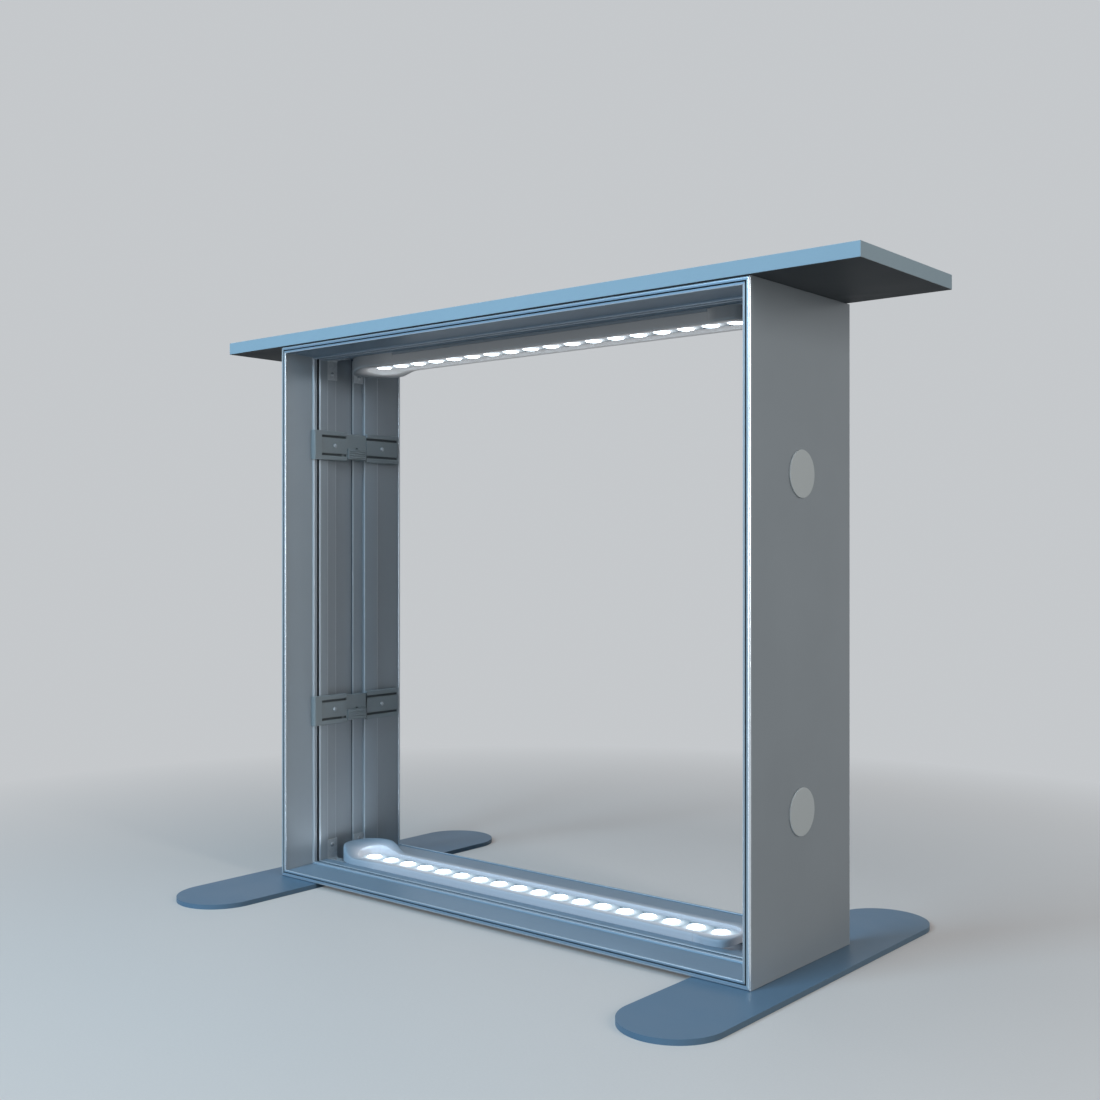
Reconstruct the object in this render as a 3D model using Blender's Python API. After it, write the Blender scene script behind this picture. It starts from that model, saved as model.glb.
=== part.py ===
"""Lightbox counter.

A free standing light box frame with a worktop on it: four wide aluminium profiles mitred into a
window, two long foot plates, a light bar of lenses at the bottom and one at the top, two bridge
clips on the left inner wall and two round port caps in the right side.

Metres, +Z up, front towards -Y. The origin lies on the floor under the middle of the worktop.
Heights on a profile are measured from its outer face inwards, depths in from the front face.
"""

import math
from collections import namedtuple

import bmesh
import bpy
from mathutils import Vector
from mathutils.geometry import tessellate_polygon

# Driving sizes of the whole counter
FRAME_WIDTH = 1.000
FRAME_HEIGHT = 0.970
FRAME_DEPTH = 0.288
FRAME_SHIFT = -0.007
TOP_OVERHANG = 0.158
TOP_FRONT_LAP = 0.003
TOP_REAR_SETBACK = 0.010
TOP_THICKNESS = 0.0214
SEAT_GAP = 0.0003
CUT_OVERRUN = 0.002

# Frame profile, outer edge and fabric groove
EDGE_RADIUS = 0.0032
GROOVE_RIM = 0.0062
GROOVE_WIDTH = 0.0019
GROOVE_DEPTH = 0.014
LIP_HEIGHT = 0.012
LIP_THICKNESS = 0.004
LIP_RADIUS = 0.0009
PROFILE_WALL = 0.0018

# Frame profile, inner face from the lip to the centre channel
BAND_LOW = 0.0098
BAND_HIGH = 0.013
BAND_EASE_SHARE = 0.7
RIDGE_HEIGHT = 0.016
RIDGE_FLANK = 0.002
RIDGE_RADIUS = 0.0008
FRONT_RIDGE_WIDTH = 0.0075
RIDGE_SLOT_WIDTH = 0.005
RIDGE_SLOT_FLOOR = 0.008
BACK_RIDGE_WIDTH = 0.021
LAND_HEIGHT = 0.010
LAND_WIDTH = 0.025
FLOOR_HEIGHT = 0.005
FLOOR_HALF = 0.021

# Corner brackets
BRACKET_LEG = 0.0405
BRACKET_THICKNESS = 0.003
BRACKET_FILLET = 0.004
BRACKET_SCREW_SHARE = 0.74

# Foot plates
FOOT_THICKNESS = 0.008
FOOT_WIDTH = 0.150
FOOT_REACH = 0.223
FOOT_CENTRE_IN = 0.022
FOOT_EDGE = 0.0008

# Light bars, sizes along the bar
LENS_PITCH = 0.0451
LENS_RADIUS = 0.0152
LENS_FOOT = 0.001
LENS_DOME = 0.0028
LENS_STEPS = 2
LENS_SIDES = 10
BOTTOM_BAR_LEFT_ROOM = 0.09475
TOP_BAR_LEFT_ROOM = 0.12115
BAR_RIGHT_ROOM = 0.1115
TOP_BAR_DROP = 0.0103
LEFT_JOINT_SHARE = 1.5
RIGHT_JOINT_SHARE = 0.5

# Light bars, sizes across the bar
BAR_SIDE_GAP = 0.002
BAR_BASE = 0.002
BAR_CHAMBER = 0.0057
BAR_WEB = 0.002
BAR_WALL = 0.003
BAR_RIM_HEIGHT = 0.0172
BAR_EDGE_DROP = 0.004
BAR_EDGE_IN = 0.003
TROUGH_HALF = 0.030
BOARD_THICKNESS = 0.0016
BOARD_EDGE_GAP = 0.004

# Light bar end housings
HOUSING_LAP = 0.004
HOUSING_LEFT_REACH = 0.061
HOUSING_RIGHT_REACH = 0.0385
LEFT_ROUNDNESS = 2.3
RIGHT_ROUNDNESS = 4.5
HOOD_HEIGHT = 0.046
HOOD_TURN = math.radians(65)
HOOD_INNER_TURN = math.radians(150)
HOOD_INNER_SHARE = 0.55
HOOD_FADE = 0.040
HOOD_FADE_LEAD = 0.010
TONGUE_LENGTH = 0.020
ARC_STEPS = 16
LEG_STEPS = 4

# What carries the light bars
MAGNET_RADIUS = 0.017
MAGNET_SHARES = (0.12, 0.38, 0.62, 0.88)
HANGER_COUNT = 3
HANGER_WEB_SHARE = 0.2
HANGER_OPEN_SHARE = 0.955

# Low voltage inlet of a light bar
INLET_RADIUS = 0.0052
INLET_FLANGE_RADIUS = 0.0072
INLET_FLANGE = 0.0014
INLET_LENGTH = 0.011
INLET_BORE = 0.0033
INLET_BORE_DEPTH = 0.009
INLET_HEIGHT = 0.0265

# Countertop fixings
THUMB_ACROSS_SHARE = 0.25
THUMB_HEAD_RADIUS = 0.008
THUMB_HEAD_SHARE = 0.66
THUMB_SHANK = 0.003
INSERT_RADIUS = 0.006
INSERT_LENGTH = 0.014
RADIAL_GAP = 0.0003

# Port caps
PORT_RADIUS = 0.0325
PORT_HEIGHT_SHARES = (0.7284, 0.2295)
PORT_DEPTH_SHIFT = -0.005
CAP_FLANGE = 0.0025
CAP_THICKNESS = 0.0020
CAP_EDGE = 0.0008
CAP_SKIRT = 0.0095
CAP_WALL = 0.0016

# Bridge clips
CLIP_HEIGHT_SHARES = (0.819, 0.306)
CLIP_HEIGHT = 0.055
CLIP_BEAD = 0.0085
CLIP_BEAD_RISE = 0.0065
CLIP_GROOVE = 0.004
CLIP_WEB = 0.0027
CLIP_PAD_RISE = 0.0052
CLIP_CHAMFER = 0.0009
HOOK_THICKNESS = 0.0026
CLIP_HEAD = 0.018
CLIP_REAR_SETBACK = 0.016
CLIP_REAR_FOOT = 0.005
CLIP_FRONT_TAIL = 0.016
CLIP_BOSS_RADIUS = 0.0045
NOTCH_LENGTH = 0.008
NOTCH_SETBACK = 0.002
BRIDGE_INSET = 0.003
BRIDGE_RISE = 0.0042
BRIDGE_TONGUE = 0.012
BRIDGE_TONGUE_RISE = 0.0016

# Thumb latch on a bridge clip
LATCH_TRAVEL = 0.008
LATCH_HEIGHT = 0.020
LATCH_THICKNESS = 0.003
LATCH_END_GAP = 0.0025
LATCH_BOTTOM_GAP = 0.001
LATCH_RIBS = 4
LATCH_RIB_RISE = 0.0010
LATCH_RIB_SHARE = 0.5
LATCH_RIB_LENGTH_SHARE = 0.86
STEM_WIDTH = 0.006
STEM_HEIGHT = 0.008
STEM_GAP = 0.0004
KEEPER_WIDTH = 0.014
KEEPER_THICKNESS = 0.003

# Screws and bolts
BRACKET_HOLE_RADIUS = 0.0022
BRACKET_HOLE_DEPTH = 0.0080
BAR_HOLE_RADIUS = 0.0018
BAR_HOLE_DEPTH = 0.0062
BAR_HOLE_ACROSS_SHARE = 0.7
BOLT_HEAD_RADIUS = 0.0078
BOLT_HEAD_LIP = 0.0004
BOLT_CONE = 0.0038
BOLT_SHANK = 0.0040
BOLT_LENGTH = 0.0228
CLIP_SCREW_HEAD = 0.0045
CLIP_SCREW_DOME = 0.0020
CLIP_SCREW_SHANK = 0.0019
SCREW_SIDES = 8
BOLT_SIDES = 10
SOCKET_SIDES = 12
ROUND_SIDES = 28

# Places that follow from the sizes above
TOP_LENGTH = FRAME_WIDTH + 2 * TOP_OVERHANG
FRONT = -FRAME_DEPTH / 2
FRAME_BASE = FOOT_THICKNESS + SEAT_GAP
FRAME_TOP = FRAME_BASE + FRAME_HEIGHT
FRAME_MIDDLE = FRAME_BASE + FRAME_HEIGHT / 2
FLOOR_IN = FRAME_DEPTH / 2 - FLOOR_HALF
LAND_IN = FLOOR_IN - LAND_WIDTH
BACK_RIDGE_IN = LAND_IN - BACK_RIDGE_WIDTH
SLOT_IN = BACK_RIDGE_IN - RIDGE_SLOT_WIDTH
RIDGE_IN = SLOT_IN - FRONT_RIDGE_WIDTH - RIDGE_FLANK
LAND_MIDDLE = (LAND_IN + FLOOR_IN) / 2
MITRE_SETBACK = SEAT_GAP / math.sqrt(2)
CHANNEL_HALF = FRAME_DEPTH / 2 - LAND_IN
BAR_HALF = CHANNEL_HALF - BAR_SIDE_GAP
HOUSING_HALF = CHANNEL_HALF + HOUSING_LAP
CHAMBER_HALF = BAR_HALF - BAR_WALL
TROUGH_FLOOR = BAR_BASE + BAR_CHAMBER + BAR_WEB
LENS_COUNT = int((FRAME_WIDTH - TOP_BAR_LEFT_ROOM - BAR_RIGHT_ROOM) / LENS_PITCH) + 1
LENS_SPAN = LENS_PITCH * (LENS_COUNT - 1)
CLIP_BASE = RIDGE_HEIGHT + SEAT_GAP

Finish = namedtuple("Finish", "name colour roughness metallic")
SATIN_ALUMINIUM = Finish("satin_aluminium", (0.72, 0.76, 0.79), 0.35, 0.6)
WHITE_LAMINATE = Finish("white_laminate", (0.82, 0.84, 0.85), 0.40, 0.0)
PALE_STEEL = Finish("powder_coated_steel", (0.74, 0.78, 0.80), 0.50, 0.1)
WHITE_PLASTIC = Finish("white_plastic", (0.80, 0.82, 0.83), 0.40, 0.0)
CAP_PLASTIC = Finish("pale_cap_plastic", (0.84, 0.86, 0.87), 0.45, 0.0)
BOARD_WHITE = Finish("white_circuit_board", (0.86, 0.87, 0.86), 0.45, 0.0)
ZINC_STEEL = Finish("zinc_steel", (0.66, 0.67, 0.69), 0.30, 1.0)
BRACKET_STEEL = Finish("bracket_steel", (0.70, 0.72, 0.74), 0.40, 0.9)
BRASS = Finish("brass", (0.72, 0.58, 0.30), 0.35, 1.0)
BLACK_NYLON = Finish("black_nylon", (0.03, 0.03, 0.032), 0.50, 0.0)
MAGNET_NICKEL = Finish("magnet_nickel", (0.62, 0.62, 0.62), 0.25, 1.0)


# Scene and mesh helpers


def clear_scene():
    for thing in list(bpy.data.objects):
        bpy.data.objects.remove(thing, do_unlink=True)


def material(finish):
    """The finish's Principled material, made on first use."""
    found = bpy.data.materials.get(finish.name)
    if found:
        return found
    made = bpy.data.materials.new(finish.name)
    made.use_nodes = True
    shader = made.node_tree.nodes["Principled BSDF"]
    shader.inputs["Base Color"].default_value = (*finish.colour, 1)
    shader.inputs["Roughness"].default_value = finish.roughness
    shader.inputs["Metallic"].default_value = finish.metallic
    made.diffuse_color = (*finish.colour, 1)
    return made


def node(name, mesh, finish, origin=(0, 0, 0), parent=None):
    """A named object whose mesh is kept relative to its own origin."""
    origin = Vector(origin)
    bmesh.ops.recalc_face_normals(mesh, faces=mesh.faces)
    bmesh.ops.translate(mesh, verts=mesh.verts, vec=-origin)
    data = bpy.data.meshes.new(name)
    mesh.to_mesh(data)
    mesh.free()
    data.materials.append(material(finish))
    data.shade_smooth()
    data.set_sharp_from_angle(angle=math.radians(32))
    made = bpy.data.objects.new(name, data)
    made.location = origin
    bpy.context.scene.collection.objects.link(made)
    if parent:
        made.parent = parent
        made.location = origin - parent.location
    return made


def pivot(name, place):
    """An empty on the axis of a moving piece."""
    made = bpy.data.objects.new(name, None)
    made.location = place
    bpy.context.scene.collection.objects.link(made)
    return made


def guide(name, mesh):
    """A shape that only cuts or joins others."""
    made = node(name, mesh, ZINC_STEEL)
    made.hide_render = True
    made.display_type = "WIRE"
    return made


def boolean(target, tool, operation):
    cut = target.modifiers.new(tool.name, "BOOLEAN")
    cut.operation = operation
    cut.solver = "EXACT"
    cut.object = tool


def bevel(target, width, segments=1):
    """Rounds the edges that turn sharply; the scale is one, so the width is true."""
    edge = target.modifiers.new("edges", "BEVEL")
    edge.width = width
    edge.segments = segments
    edge.limit_method = "ANGLE"
    edge.angle_limit = math.radians(50)


def add_prism(mesh, loops, near, far):
    """A closed prism between two placed copies of one section; loops after the first are holes."""
    points = [point for loop in loops for point in loop]
    faces = tessellate_polygon([[Vector((p, q, 0)) for p, q in loop] for loop in loops])
    first = [mesh.verts.new(near(p, q)) for p, q in points]
    last = [mesh.verts.new(far(p, q)) for p, q in points]
    for face in faces:
        mesh.faces.new([first[i] for i in face])
        mesh.faces.new([last[i] for i in reversed(face)])
    start = 0
    for loop in loops:
        for i in range(len(loop)):
            a, b = start + i, start + (i + 1) % len(loop)
            mesh.faces.new((first[a], first[b], last[b], last[a]))
        start += len(loop)


def prism(loops, near, far):
    mesh = bmesh.new()
    add_prism(mesh, loops, near, far)
    return mesh


def add_box(mesh, low, high):
    """A box between two corners, in any order."""
    made = bmesh.ops.create_cube(mesh, size=1)["verts"]
    low, high = Vector(low), Vector(high)
    middle, size = (low + high) / 2, high - low
    for vertex in made:
        vertex.co = middle + Vector(vertex.co[i] * abs(size[i]) for i in range(3))


def turned(name, profile, place, sides, finish, **options):
    """A node turned about an axis."""
    mesh = bmesh.new()
    add_turned(mesh, profile, place, sides, options.pop("ring", False))
    return node(name, mesh, finish, **options)


def add_turned(mesh, profile, place, sides, ring=False):
    """Turns (radius, height) points about an axis; a ring's profile closes on itself."""
    rings = []
    for radius, height in profile:
        count = sides if radius > 0 else 1
        turns = [2 * math.pi * k / count for k in range(count)]
        rings.append([mesh.verts.new(place(radius * math.cos(a), radius * math.sin(a), height)) for a in turns])
    pairs = list(zip(rings, rings[1:]))
    if ring:
        pairs.append((rings[-1], rings[0]))
    for low, high in pairs:
        for k in range(sides):
            corners = [low[k % len(low)], low[(k + 1) % len(low)], high[(k + 1) % len(high)], high[k % len(high)]]
            corners = list(dict.fromkeys(corners))
            if len(corners) > 2:
                mesh.faces.new(corners)


def aimed(origin, direction):
    """Places local (x, y, height) so that height runs from origin along direction."""
    origin, direction = Vector(origin), Vector(direction)
    turn = direction.to_track_quat("Z", "Y")
    return lambda x, y, height: origin + turn @ Vector((x, y, height))


def smooth(share):
    share = min(max(share, 0), 1)
    return share * share * (3 - 2 * share)


def stadium(half_length, radius, steps):
    """Outline of a slot shape that runs along its first axis."""
    points = []
    for end in (1, -1):
        for k in range(steps + 1):
            turn = math.pi * k / steps - math.pi / 2
            points.append((end * (half_length + radius * math.cos(turn)), end * radius * math.sin(turn)))
    return points


# Screws


def bolt_profile(clearance=0, overrun=0):
    """A countersunk bolt, head first; with a clearance and an overrun it is the hole for it."""
    head, shank = BOLT_HEAD_RADIUS + clearance, BOLT_SHANK + clearance
    end = BOLT_LENGTH + clearance
    return [(0, -overrun), (head, -overrun), (head, BOLT_HEAD_LIP), (shank, BOLT_CONE), (shank, end), (0, end)]


def bores(name, profile, spots, sides, targets):
    """Equal holes through the pieces that their screws join."""
    holes = bmesh.new()
    for origin, direction in spots:
        add_turned(holes, profile, aimed(origin, direction), sides)
    cutter = guide(name, holes)
    for target in targets:
        boolean(target, cutter, "DIFFERENCE")


def plain_hole(radius, depth):
    return [(0, -CUT_OVERRUN), (radius, -CUT_OVERRUN), (radius, depth), (0, depth)]


# Frame profiles


def band_height(share):
    """Height of the smooth band, from just behind the lip to the foot of the ridge."""
    return BAND_LOW + (BAND_HIGH - BAND_LOW) * share**BAND_EASE_SHARE


def band_points(low_in, high_in, drop):
    steps = 5
    shares = [k / steps for k in range(steps + 1)]
    return [(low_in + (high_in - low_in) * share, band_height(share) - drop) for share in shares]


def rounded(corner, before, after, radius, steps=2):
    """Points of a small round at a corner, from the side of one neighbour to that of the other."""
    corner, before, after = Vector(corner), Vector(before), Vector(after)
    start = corner + (before - corner).normalized() * radius
    end = corner + (after - corner).normalized() * radius
    points = []
    for k in range(steps + 1):
        share = k / steps
        point = start.lerp(corner, share).lerp(corner.lerp(end, share), share)
        points.append((point.x, point.y))
    return points


def ridge(low_in, high_in, low_height, high_height, flank):
    """A ridge with rounded shoulders; its first flank leans by the flank."""
    foot = (low_in, low_height)
    first, second = (low_in + flank, RIDGE_HEIGHT), (high_in, RIDGE_HEIGHT)
    points = [foot]
    points += rounded(first, foot, second, RIDGE_RADIUS, 1)
    points += rounded(second, first, (high_in, high_height), RIDGE_RADIUS, 1)
    return points + [(high_in, high_height)]


def section_half(slotted):
    """(depth in, height) of half the section, outer edge to centre line; a slot splits the front ridge."""
    turns = [math.pi / 2 * k / 3 for k in range(4)]
    points = [(EDGE_RADIUS * (1 - math.sin(a)), EDGE_RADIUS * (1 - math.cos(a))) for a in turns]
    groove_top = GROOVE_RIM + GROOVE_WIDTH
    points += [(0, GROOVE_RIM), (GROOVE_DEPTH, GROOVE_RIM), (GROOVE_DEPTH, groove_top), (0, groove_top)]
    lip_front, lip_back = (0, LIP_HEIGHT), (LIP_THICKNESS, LIP_HEIGHT)
    points += rounded(lip_front, (0, groove_top), lip_back, LIP_RADIUS)
    points += rounded(lip_back, lip_front, (LIP_THICKNESS, BAND_LOW), LIP_RADIUS)
    points += band_points(LIP_THICKNESS, RIDGE_IN, 0)[:-1]
    if slotted:
        points += ridge(RIDGE_IN, SLOT_IN, BAND_HIGH, RIDGE_SLOT_FLOOR, RIDGE_FLANK)
        points += ridge(BACK_RIDGE_IN, LAND_IN, RIDGE_SLOT_FLOOR, LAND_HEIGHT, 0)
    else:
        points += ridge(RIDGE_IN, LAND_IN, BAND_HIGH, LAND_HEIGHT, RIDGE_FLANK)
    return points + [(FLOOR_IN, LAND_HEIGHT), (FLOOR_IN, FLOOR_HEIGHT)]


def chambers(slotted):
    """Hollows of half the section: behind the groove, in the ridge, under its slot and under the land."""
    wall = PROFILE_WALL
    skin = band_points(GROOVE_DEPTH + wall, RIDGE_IN - wall, wall)
    behind_groove = [(GROOVE_DEPTH + wall, wall), (RIDGE_IN - wall, wall)] + skin[::-1]
    boxes = [(LAND_IN + wall, FLOOR_IN - wall, LAND_HEIGHT - wall)]
    ridge_start = RIDGE_IN + RIDGE_FLANK + wall / 2
    if slotted:
        boxes.append((RIDGE_IN, BACK_RIDGE_IN - wall, RIDGE_SLOT_FLOOR - wall))
        ridge_start = BACK_RIDGE_IN + wall
    boxes.append((ridge_start, LAND_IN - wall, RIDGE_HEIGHT - wall))
    return [behind_groove] + [[(a, wall), (b, wall), (b, top), (a, top)] for a, b, top in boxes]


def profile_section():
    """Loops of (depth, height): the outline first, then the chambers of its front and of its rear."""
    outline = [(FRONT + depth, height) for depth, height in section_half(True)]
    outline += [(-FRONT - depth, height) for depth, height in reversed(section_half(False))]
    front = [[(FRONT + depth, height) for depth, height in chamber] for chamber in chambers(True)]
    rear = [[(-FRONT - depth, height) for depth, height in chamber] for chamber in chambers(False)]
    return [outline] + front + rear


def on_bottom(along, depth, height):
    return Vector((FRAME_SHIFT + along, depth, FRAME_BASE + height))


def on_top(along, depth, height):
    return Vector((FRAME_SHIFT + along, depth, FRAME_TOP - height))


def on_left(along, depth, height):
    return Vector((FRAME_SHIFT - FRAME_WIDTH / 2 + height, depth, FRAME_MIDDLE + along))


def on_right(along, depth, height):
    return Vector((FRAME_SHIFT + FRAME_WIDTH / 2 - height, depth, FRAME_MIDDLE + along))


def profile(name, place, length):
    """One mitred profile; its ends lean at 45 degrees, so the inner face is shorter."""

    def end(side):
        return lambda depth, height: place(side * (length / 2 - height - MITRE_SETBACK), depth, height)

    return node(name, prism(profile_section(), end(-1), end(1)), SATIN_ALUMINIUM)


def frame_profiles():
    return {
        "bottom": profile("bottom_profile", on_bottom, FRAME_WIDTH),
        "top": profile("top_profile", on_top, FRAME_WIDTH),
        "left": profile("left_profile", on_left, FRAME_HEIGHT),
        "right": profile("right_profile", on_right, FRAME_HEIGHT),
    }


# Corner brackets


def bracket_outline():
    """L shape of (distance from the side face, distance from the top or bottom face)."""
    seat = LAND_HEIGHT + SEAT_GAP
    end, inner = seat + BRACKET_LEG, seat + BRACKET_THICKNESS
    fillet = rounded((inner, inner), (end, inner), (inner, end), BRACKET_FILLET, 3)
    return [(seat, seat), (end, seat), (end, inner)] + fillet + [(inner, end), (seat, end)]


def corner_bracket(name, side, rise, depth_side):
    """A bracket on the front or rear lands of one corner."""

    def place(depth):
        return lambda across, up: Vector((
            FRAME_SHIFT + side * (FRAME_WIDTH / 2 - across),
            depth_side * (-FRONT - depth),
            FRAME_MIDDLE + rise * (FRAME_HEIGHT / 2 - up),
        ))

    mesh = prism([bracket_outline()], place(LAND_IN + SEAT_GAP), place(FLOOR_IN))
    return node(name, mesh, BRACKET_STEEL)


def bracket_screw_spots(side, rise):
    """Head centres and directions of the screws of both brackets of one corner."""
    head = LAND_HEIGHT + SEAT_GAP + BRACKET_THICKNESS
    leg = LAND_HEIGHT + SEAT_GAP + BRACKET_SCREW_SHARE * BRACKET_LEG
    spots = []
    for depth in (FRONT + LAND_MIDDLE, -FRONT - LAND_MIDDLE):
        upright = Vector((FRAME_SHIFT + side * (FRAME_WIDTH / 2 - head), depth,
                          FRAME_MIDDLE + rise * (FRAME_HEIGHT / 2 - leg)))
        level = Vector((FRAME_SHIFT + side * (FRAME_WIDTH / 2 - leg), depth,
                        FRAME_MIDDLE + rise * (FRAME_HEIGHT / 2 - head)))
        spots.append((upright, (side, 0, 0)))
        spots.append((level, (0, 0, rise)))
    return spots


def corners(profiles):
    """Two brackets and their screw holes at each corner; returns the lower ones for the foot bolts."""
    lower = {}
    for level, rise in (("bottom", -1), ("top", 1)):
        for hand, side in (("left", -1), ("right", 1)):
            front = corner_bracket(f"corner_bracket_{level}_{hand}_front", side, rise, -1)
            rear = corner_bracket(f"corner_bracket_{level}_{hand}_rear", side, rise, 1)
            targets = [front, rear, profiles[level], profiles[hand]]
            hole = plain_hole(BRACKET_HOLE_RADIUS, BRACKET_HOLE_DEPTH)
            bores(f"bracket_holes_{level}_{hand}", hole, bracket_screw_spots(side, rise), SCREW_SIDES, targets)
            if level == "bottom":
                lower[hand] = [front, rear]
    return lower


# Foot plates


def foot(hand, side, profiles, brackets):
    """A round ended plate under one end of the frame, and the two bolts up into the corner brackets."""
    across = FRAME_SHIFT + side * (FRAME_WIDTH / 2 - FOOT_CENTRE_IN)
    straight = FRAME_DEPTH / 2 + FOOT_REACH - FOOT_WIDTH / 2
    outline = stadium(straight, FOOT_WIDTH / 2, 16)
    mesh = prism([outline], lambda y, x: Vector((across + x, y, 0)),
                 lambda y, x: Vector((across + x, y, FOOT_THICKNESS)))
    plate = node(f"{hand}_foot", mesh, PALE_STEEL)
    bevel(plate, FOOT_EDGE)
    spots = []
    for end, sign in (("front", -1), ("rear", 1)):
        head = Vector((across, sign * (-FRONT - LAND_MIDDLE), SEAT_GAP))
        spots.append((head, (0, 0, 1)))
        turned(f"{hand}_foot_bolt_{end}", bolt_profile(), aimed(*spots[-1]), BOLT_SIDES, ZINC_STEEL)
    targets = [plate, profiles["bottom"]] + brackets[hand]
    bores(f"{hand}_foot_holes", bolt_profile(RADIAL_GAP, CUT_OVERRUN), spots, BOLT_SIDES, targets)


# Light bars


class Bar:
    """Where one light bar lies: its lenses along X, and heights from the tray's underside."""

    def __init__(self, name, left_room, drop, upside_down):
        self.name = name
        self.first = FRAME_SHIFT - FRAME_WIDTH / 2 + left_room
        self.last = self.first + LENS_SPAN
        self.seat = LAND_HEIGHT + SEAT_GAP + drop
        self.drop = drop
        self.upside_down = upside_down
        self.left_joint = self.first + LEFT_JOINT_SHARE * LENS_PITCH
        self.right_joint = self.last - RIGHT_JOINT_SHARE * LENS_PITCH

    def along_tray(self, share):
        return self.left_joint + share * (self.right_joint - self.left_joint)

    def place(self, x, y, height):
        """A point at a height above the tray's underside."""
        if self.upside_down:
            return Vector((x, y, FRAME_TOP - self.seat - height))
        return Vector((x, y, FRAME_BASE + self.seat + height))

    def outward(self):
        return (0, 0, -1) if self.upside_down else (0, 0, 1)


def tray_loops():
    """Section of the tray: an open trough on top, a closed chamber below."""
    shoulder = BAR_RIM_HEIGHT - BAR_EDGE_DROP
    half = [(BAR_HALF, 0), (BAR_HALF, shoulder), (BAR_HALF - BAR_EDGE_IN, BAR_RIM_HEIGHT),
            (TROUGH_HALF, BAR_RIM_HEIGHT), (TROUGH_HALF, TROUGH_FLOOR)]
    outline = half + [(-y, height) for y, height in reversed(half)]
    low, high = BAR_BASE, BAR_BASE + BAR_CHAMBER
    chamber = [(-CHAMBER_HALF, low), (CHAMBER_HALF, low), (CHAMBER_HALF, high), (-CHAMBER_HALF, high)]
    return [outline, chamber]


def bar_tray(bar):
    start, end = bar.left_joint + SEAT_GAP / 2, bar.right_joint - SEAT_GAP / 2
    mesh = prism(tray_loops(), lambda y, height: bar.place(start, y, height),
                 lambda y, height: bar.place(end, y, height))
    return node(f"{bar.name}_tray", mesh, WHITE_PLASTIC)


def hood_rise(angle, inland, turn):
    """Share of the hood's height: it climbs round the end from the front and fades along the rear."""
    return smooth((angle + math.pi / 2) / turn) * smooth((HOOD_FADE - inland) / (HOOD_FADE + HOOD_FADE_LEAD))


def housing_stations(reach, roundness, joint):
    """Round the end from the front leg to the rear leg: outer point, inner point, turn and way inland.

    The first coordinate of a point runs outwards from the end lens, the second from front to rear."""
    stations = []
    legs = [k / LEG_STEPS for k in range(LEG_STEPS)]
    for share in legs:
        half = BAR_HALF + (HOUSING_HALF - BAR_HALF) * smooth(share)
        inland = joint * (1 - share)
        stations.append(((-inland, -half), (-inland, -TROUGH_HALF), -math.pi / 2, inland))
    for k in range(ARC_STEPS + 1):
        turn = math.pi * k / ARC_STEPS - math.pi / 2
        c, s = abs(math.cos(turn)) if 0 < k < ARC_STEPS else 0, math.sin(turn)
        outer = (reach * c ** (2 / roundness), math.copysign(HOUSING_HALF * abs(s) ** (2 / roundness), s))
        stations.append((outer, (TROUGH_HALF * c, TROUGH_HALF * s), turn, -TROUGH_HALF * c))
    for share in reversed(legs):
        half = BAR_HALF + (HOUSING_HALF - BAR_HALF) * smooth(share)
        inland = joint * (1 - share)
        stations.append(((-inland, half), (-inland, TROUGH_HALF), math.pi / 2, inland))
    return stations


def bar_housing(bar, hand):
    """A moulded end: a horseshoe rim round the last lenses, hooded on the left, and a tongue into the tray."""
    left = hand == "left"
    side = -1 if left else 1
    lens = bar.first if left else bar.last
    joint = (bar.left_joint - lens) if left else (lens - bar.right_joint)
    reach = HOUSING_LEFT_REACH if left else HOUSING_RIGHT_REACH
    stations = housing_stations(reach, LEFT_ROUNDNESS if left else RIGHT_ROUNDNESS, joint - SEAT_GAP / 2)
    rim = bar.seat + BAR_RIM_HEIGHT
    hood = (HOOD_HEIGHT - rim) if left else 0
    base, floor = RIDGE_HEIGHT + SEAT_GAP - bar.seat, TROUGH_FLOOR
    mesh = bmesh.new()
    rows = []
    for outer, inner, turn, inland in stations:
        inset = (Vector(inner) - Vector(outer)).normalized() * BAR_EDGE_IN
        crest = (outer[0] + inset.x, outer[1] + inset.y)
        high = BAR_RIM_HEIGHT + hood * hood_rise(turn, inland, HOOD_TURN)
        low = BAR_RIM_HEIGHT + hood * HOOD_INNER_SHARE * hood_rise(turn, inland, HOOD_INNER_TURN)
        row = [(outer, base), (outer, high - BAR_EDGE_DROP), (crest, high), (inner, low), (inner, floor)]
        rows.append([mesh.verts.new(bar.place(lens + side * p[0], p[1], h)) for p, h in row])
    for here, there in zip(rows, rows[1:]):
        for k in range(len(here) - 1):
            mesh.faces.new((here[k], here[k + 1], there[k + 1], there[k]))
    mesh.faces.new([row[0] for row in rows])
    mesh.faces.new([row[-1] for row in rows])
    mesh.faces.new(rows[0] + rows[-1][::-1])
    made = node(f"{bar.name}_{hand}_housing", mesh, WHITE_PLASTIC)
    tongue = bmesh.new()
    start = lens - side * joint
    half = CHAMBER_HALF - SEAT_GAP
    low, high = BAR_BASE + SEAT_GAP, BAR_BASE + BAR_CHAMBER - SEAT_GAP
    add_box(tongue, bar.place(start - side * TONGUE_LENGTH, -half, low),
            bar.place(start + side * TONGUE_LENGTH / 2, half, high))
    boolean(made, guide(f"{bar.name}_{hand}_tongue", tongue), "UNION")
    return made


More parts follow.
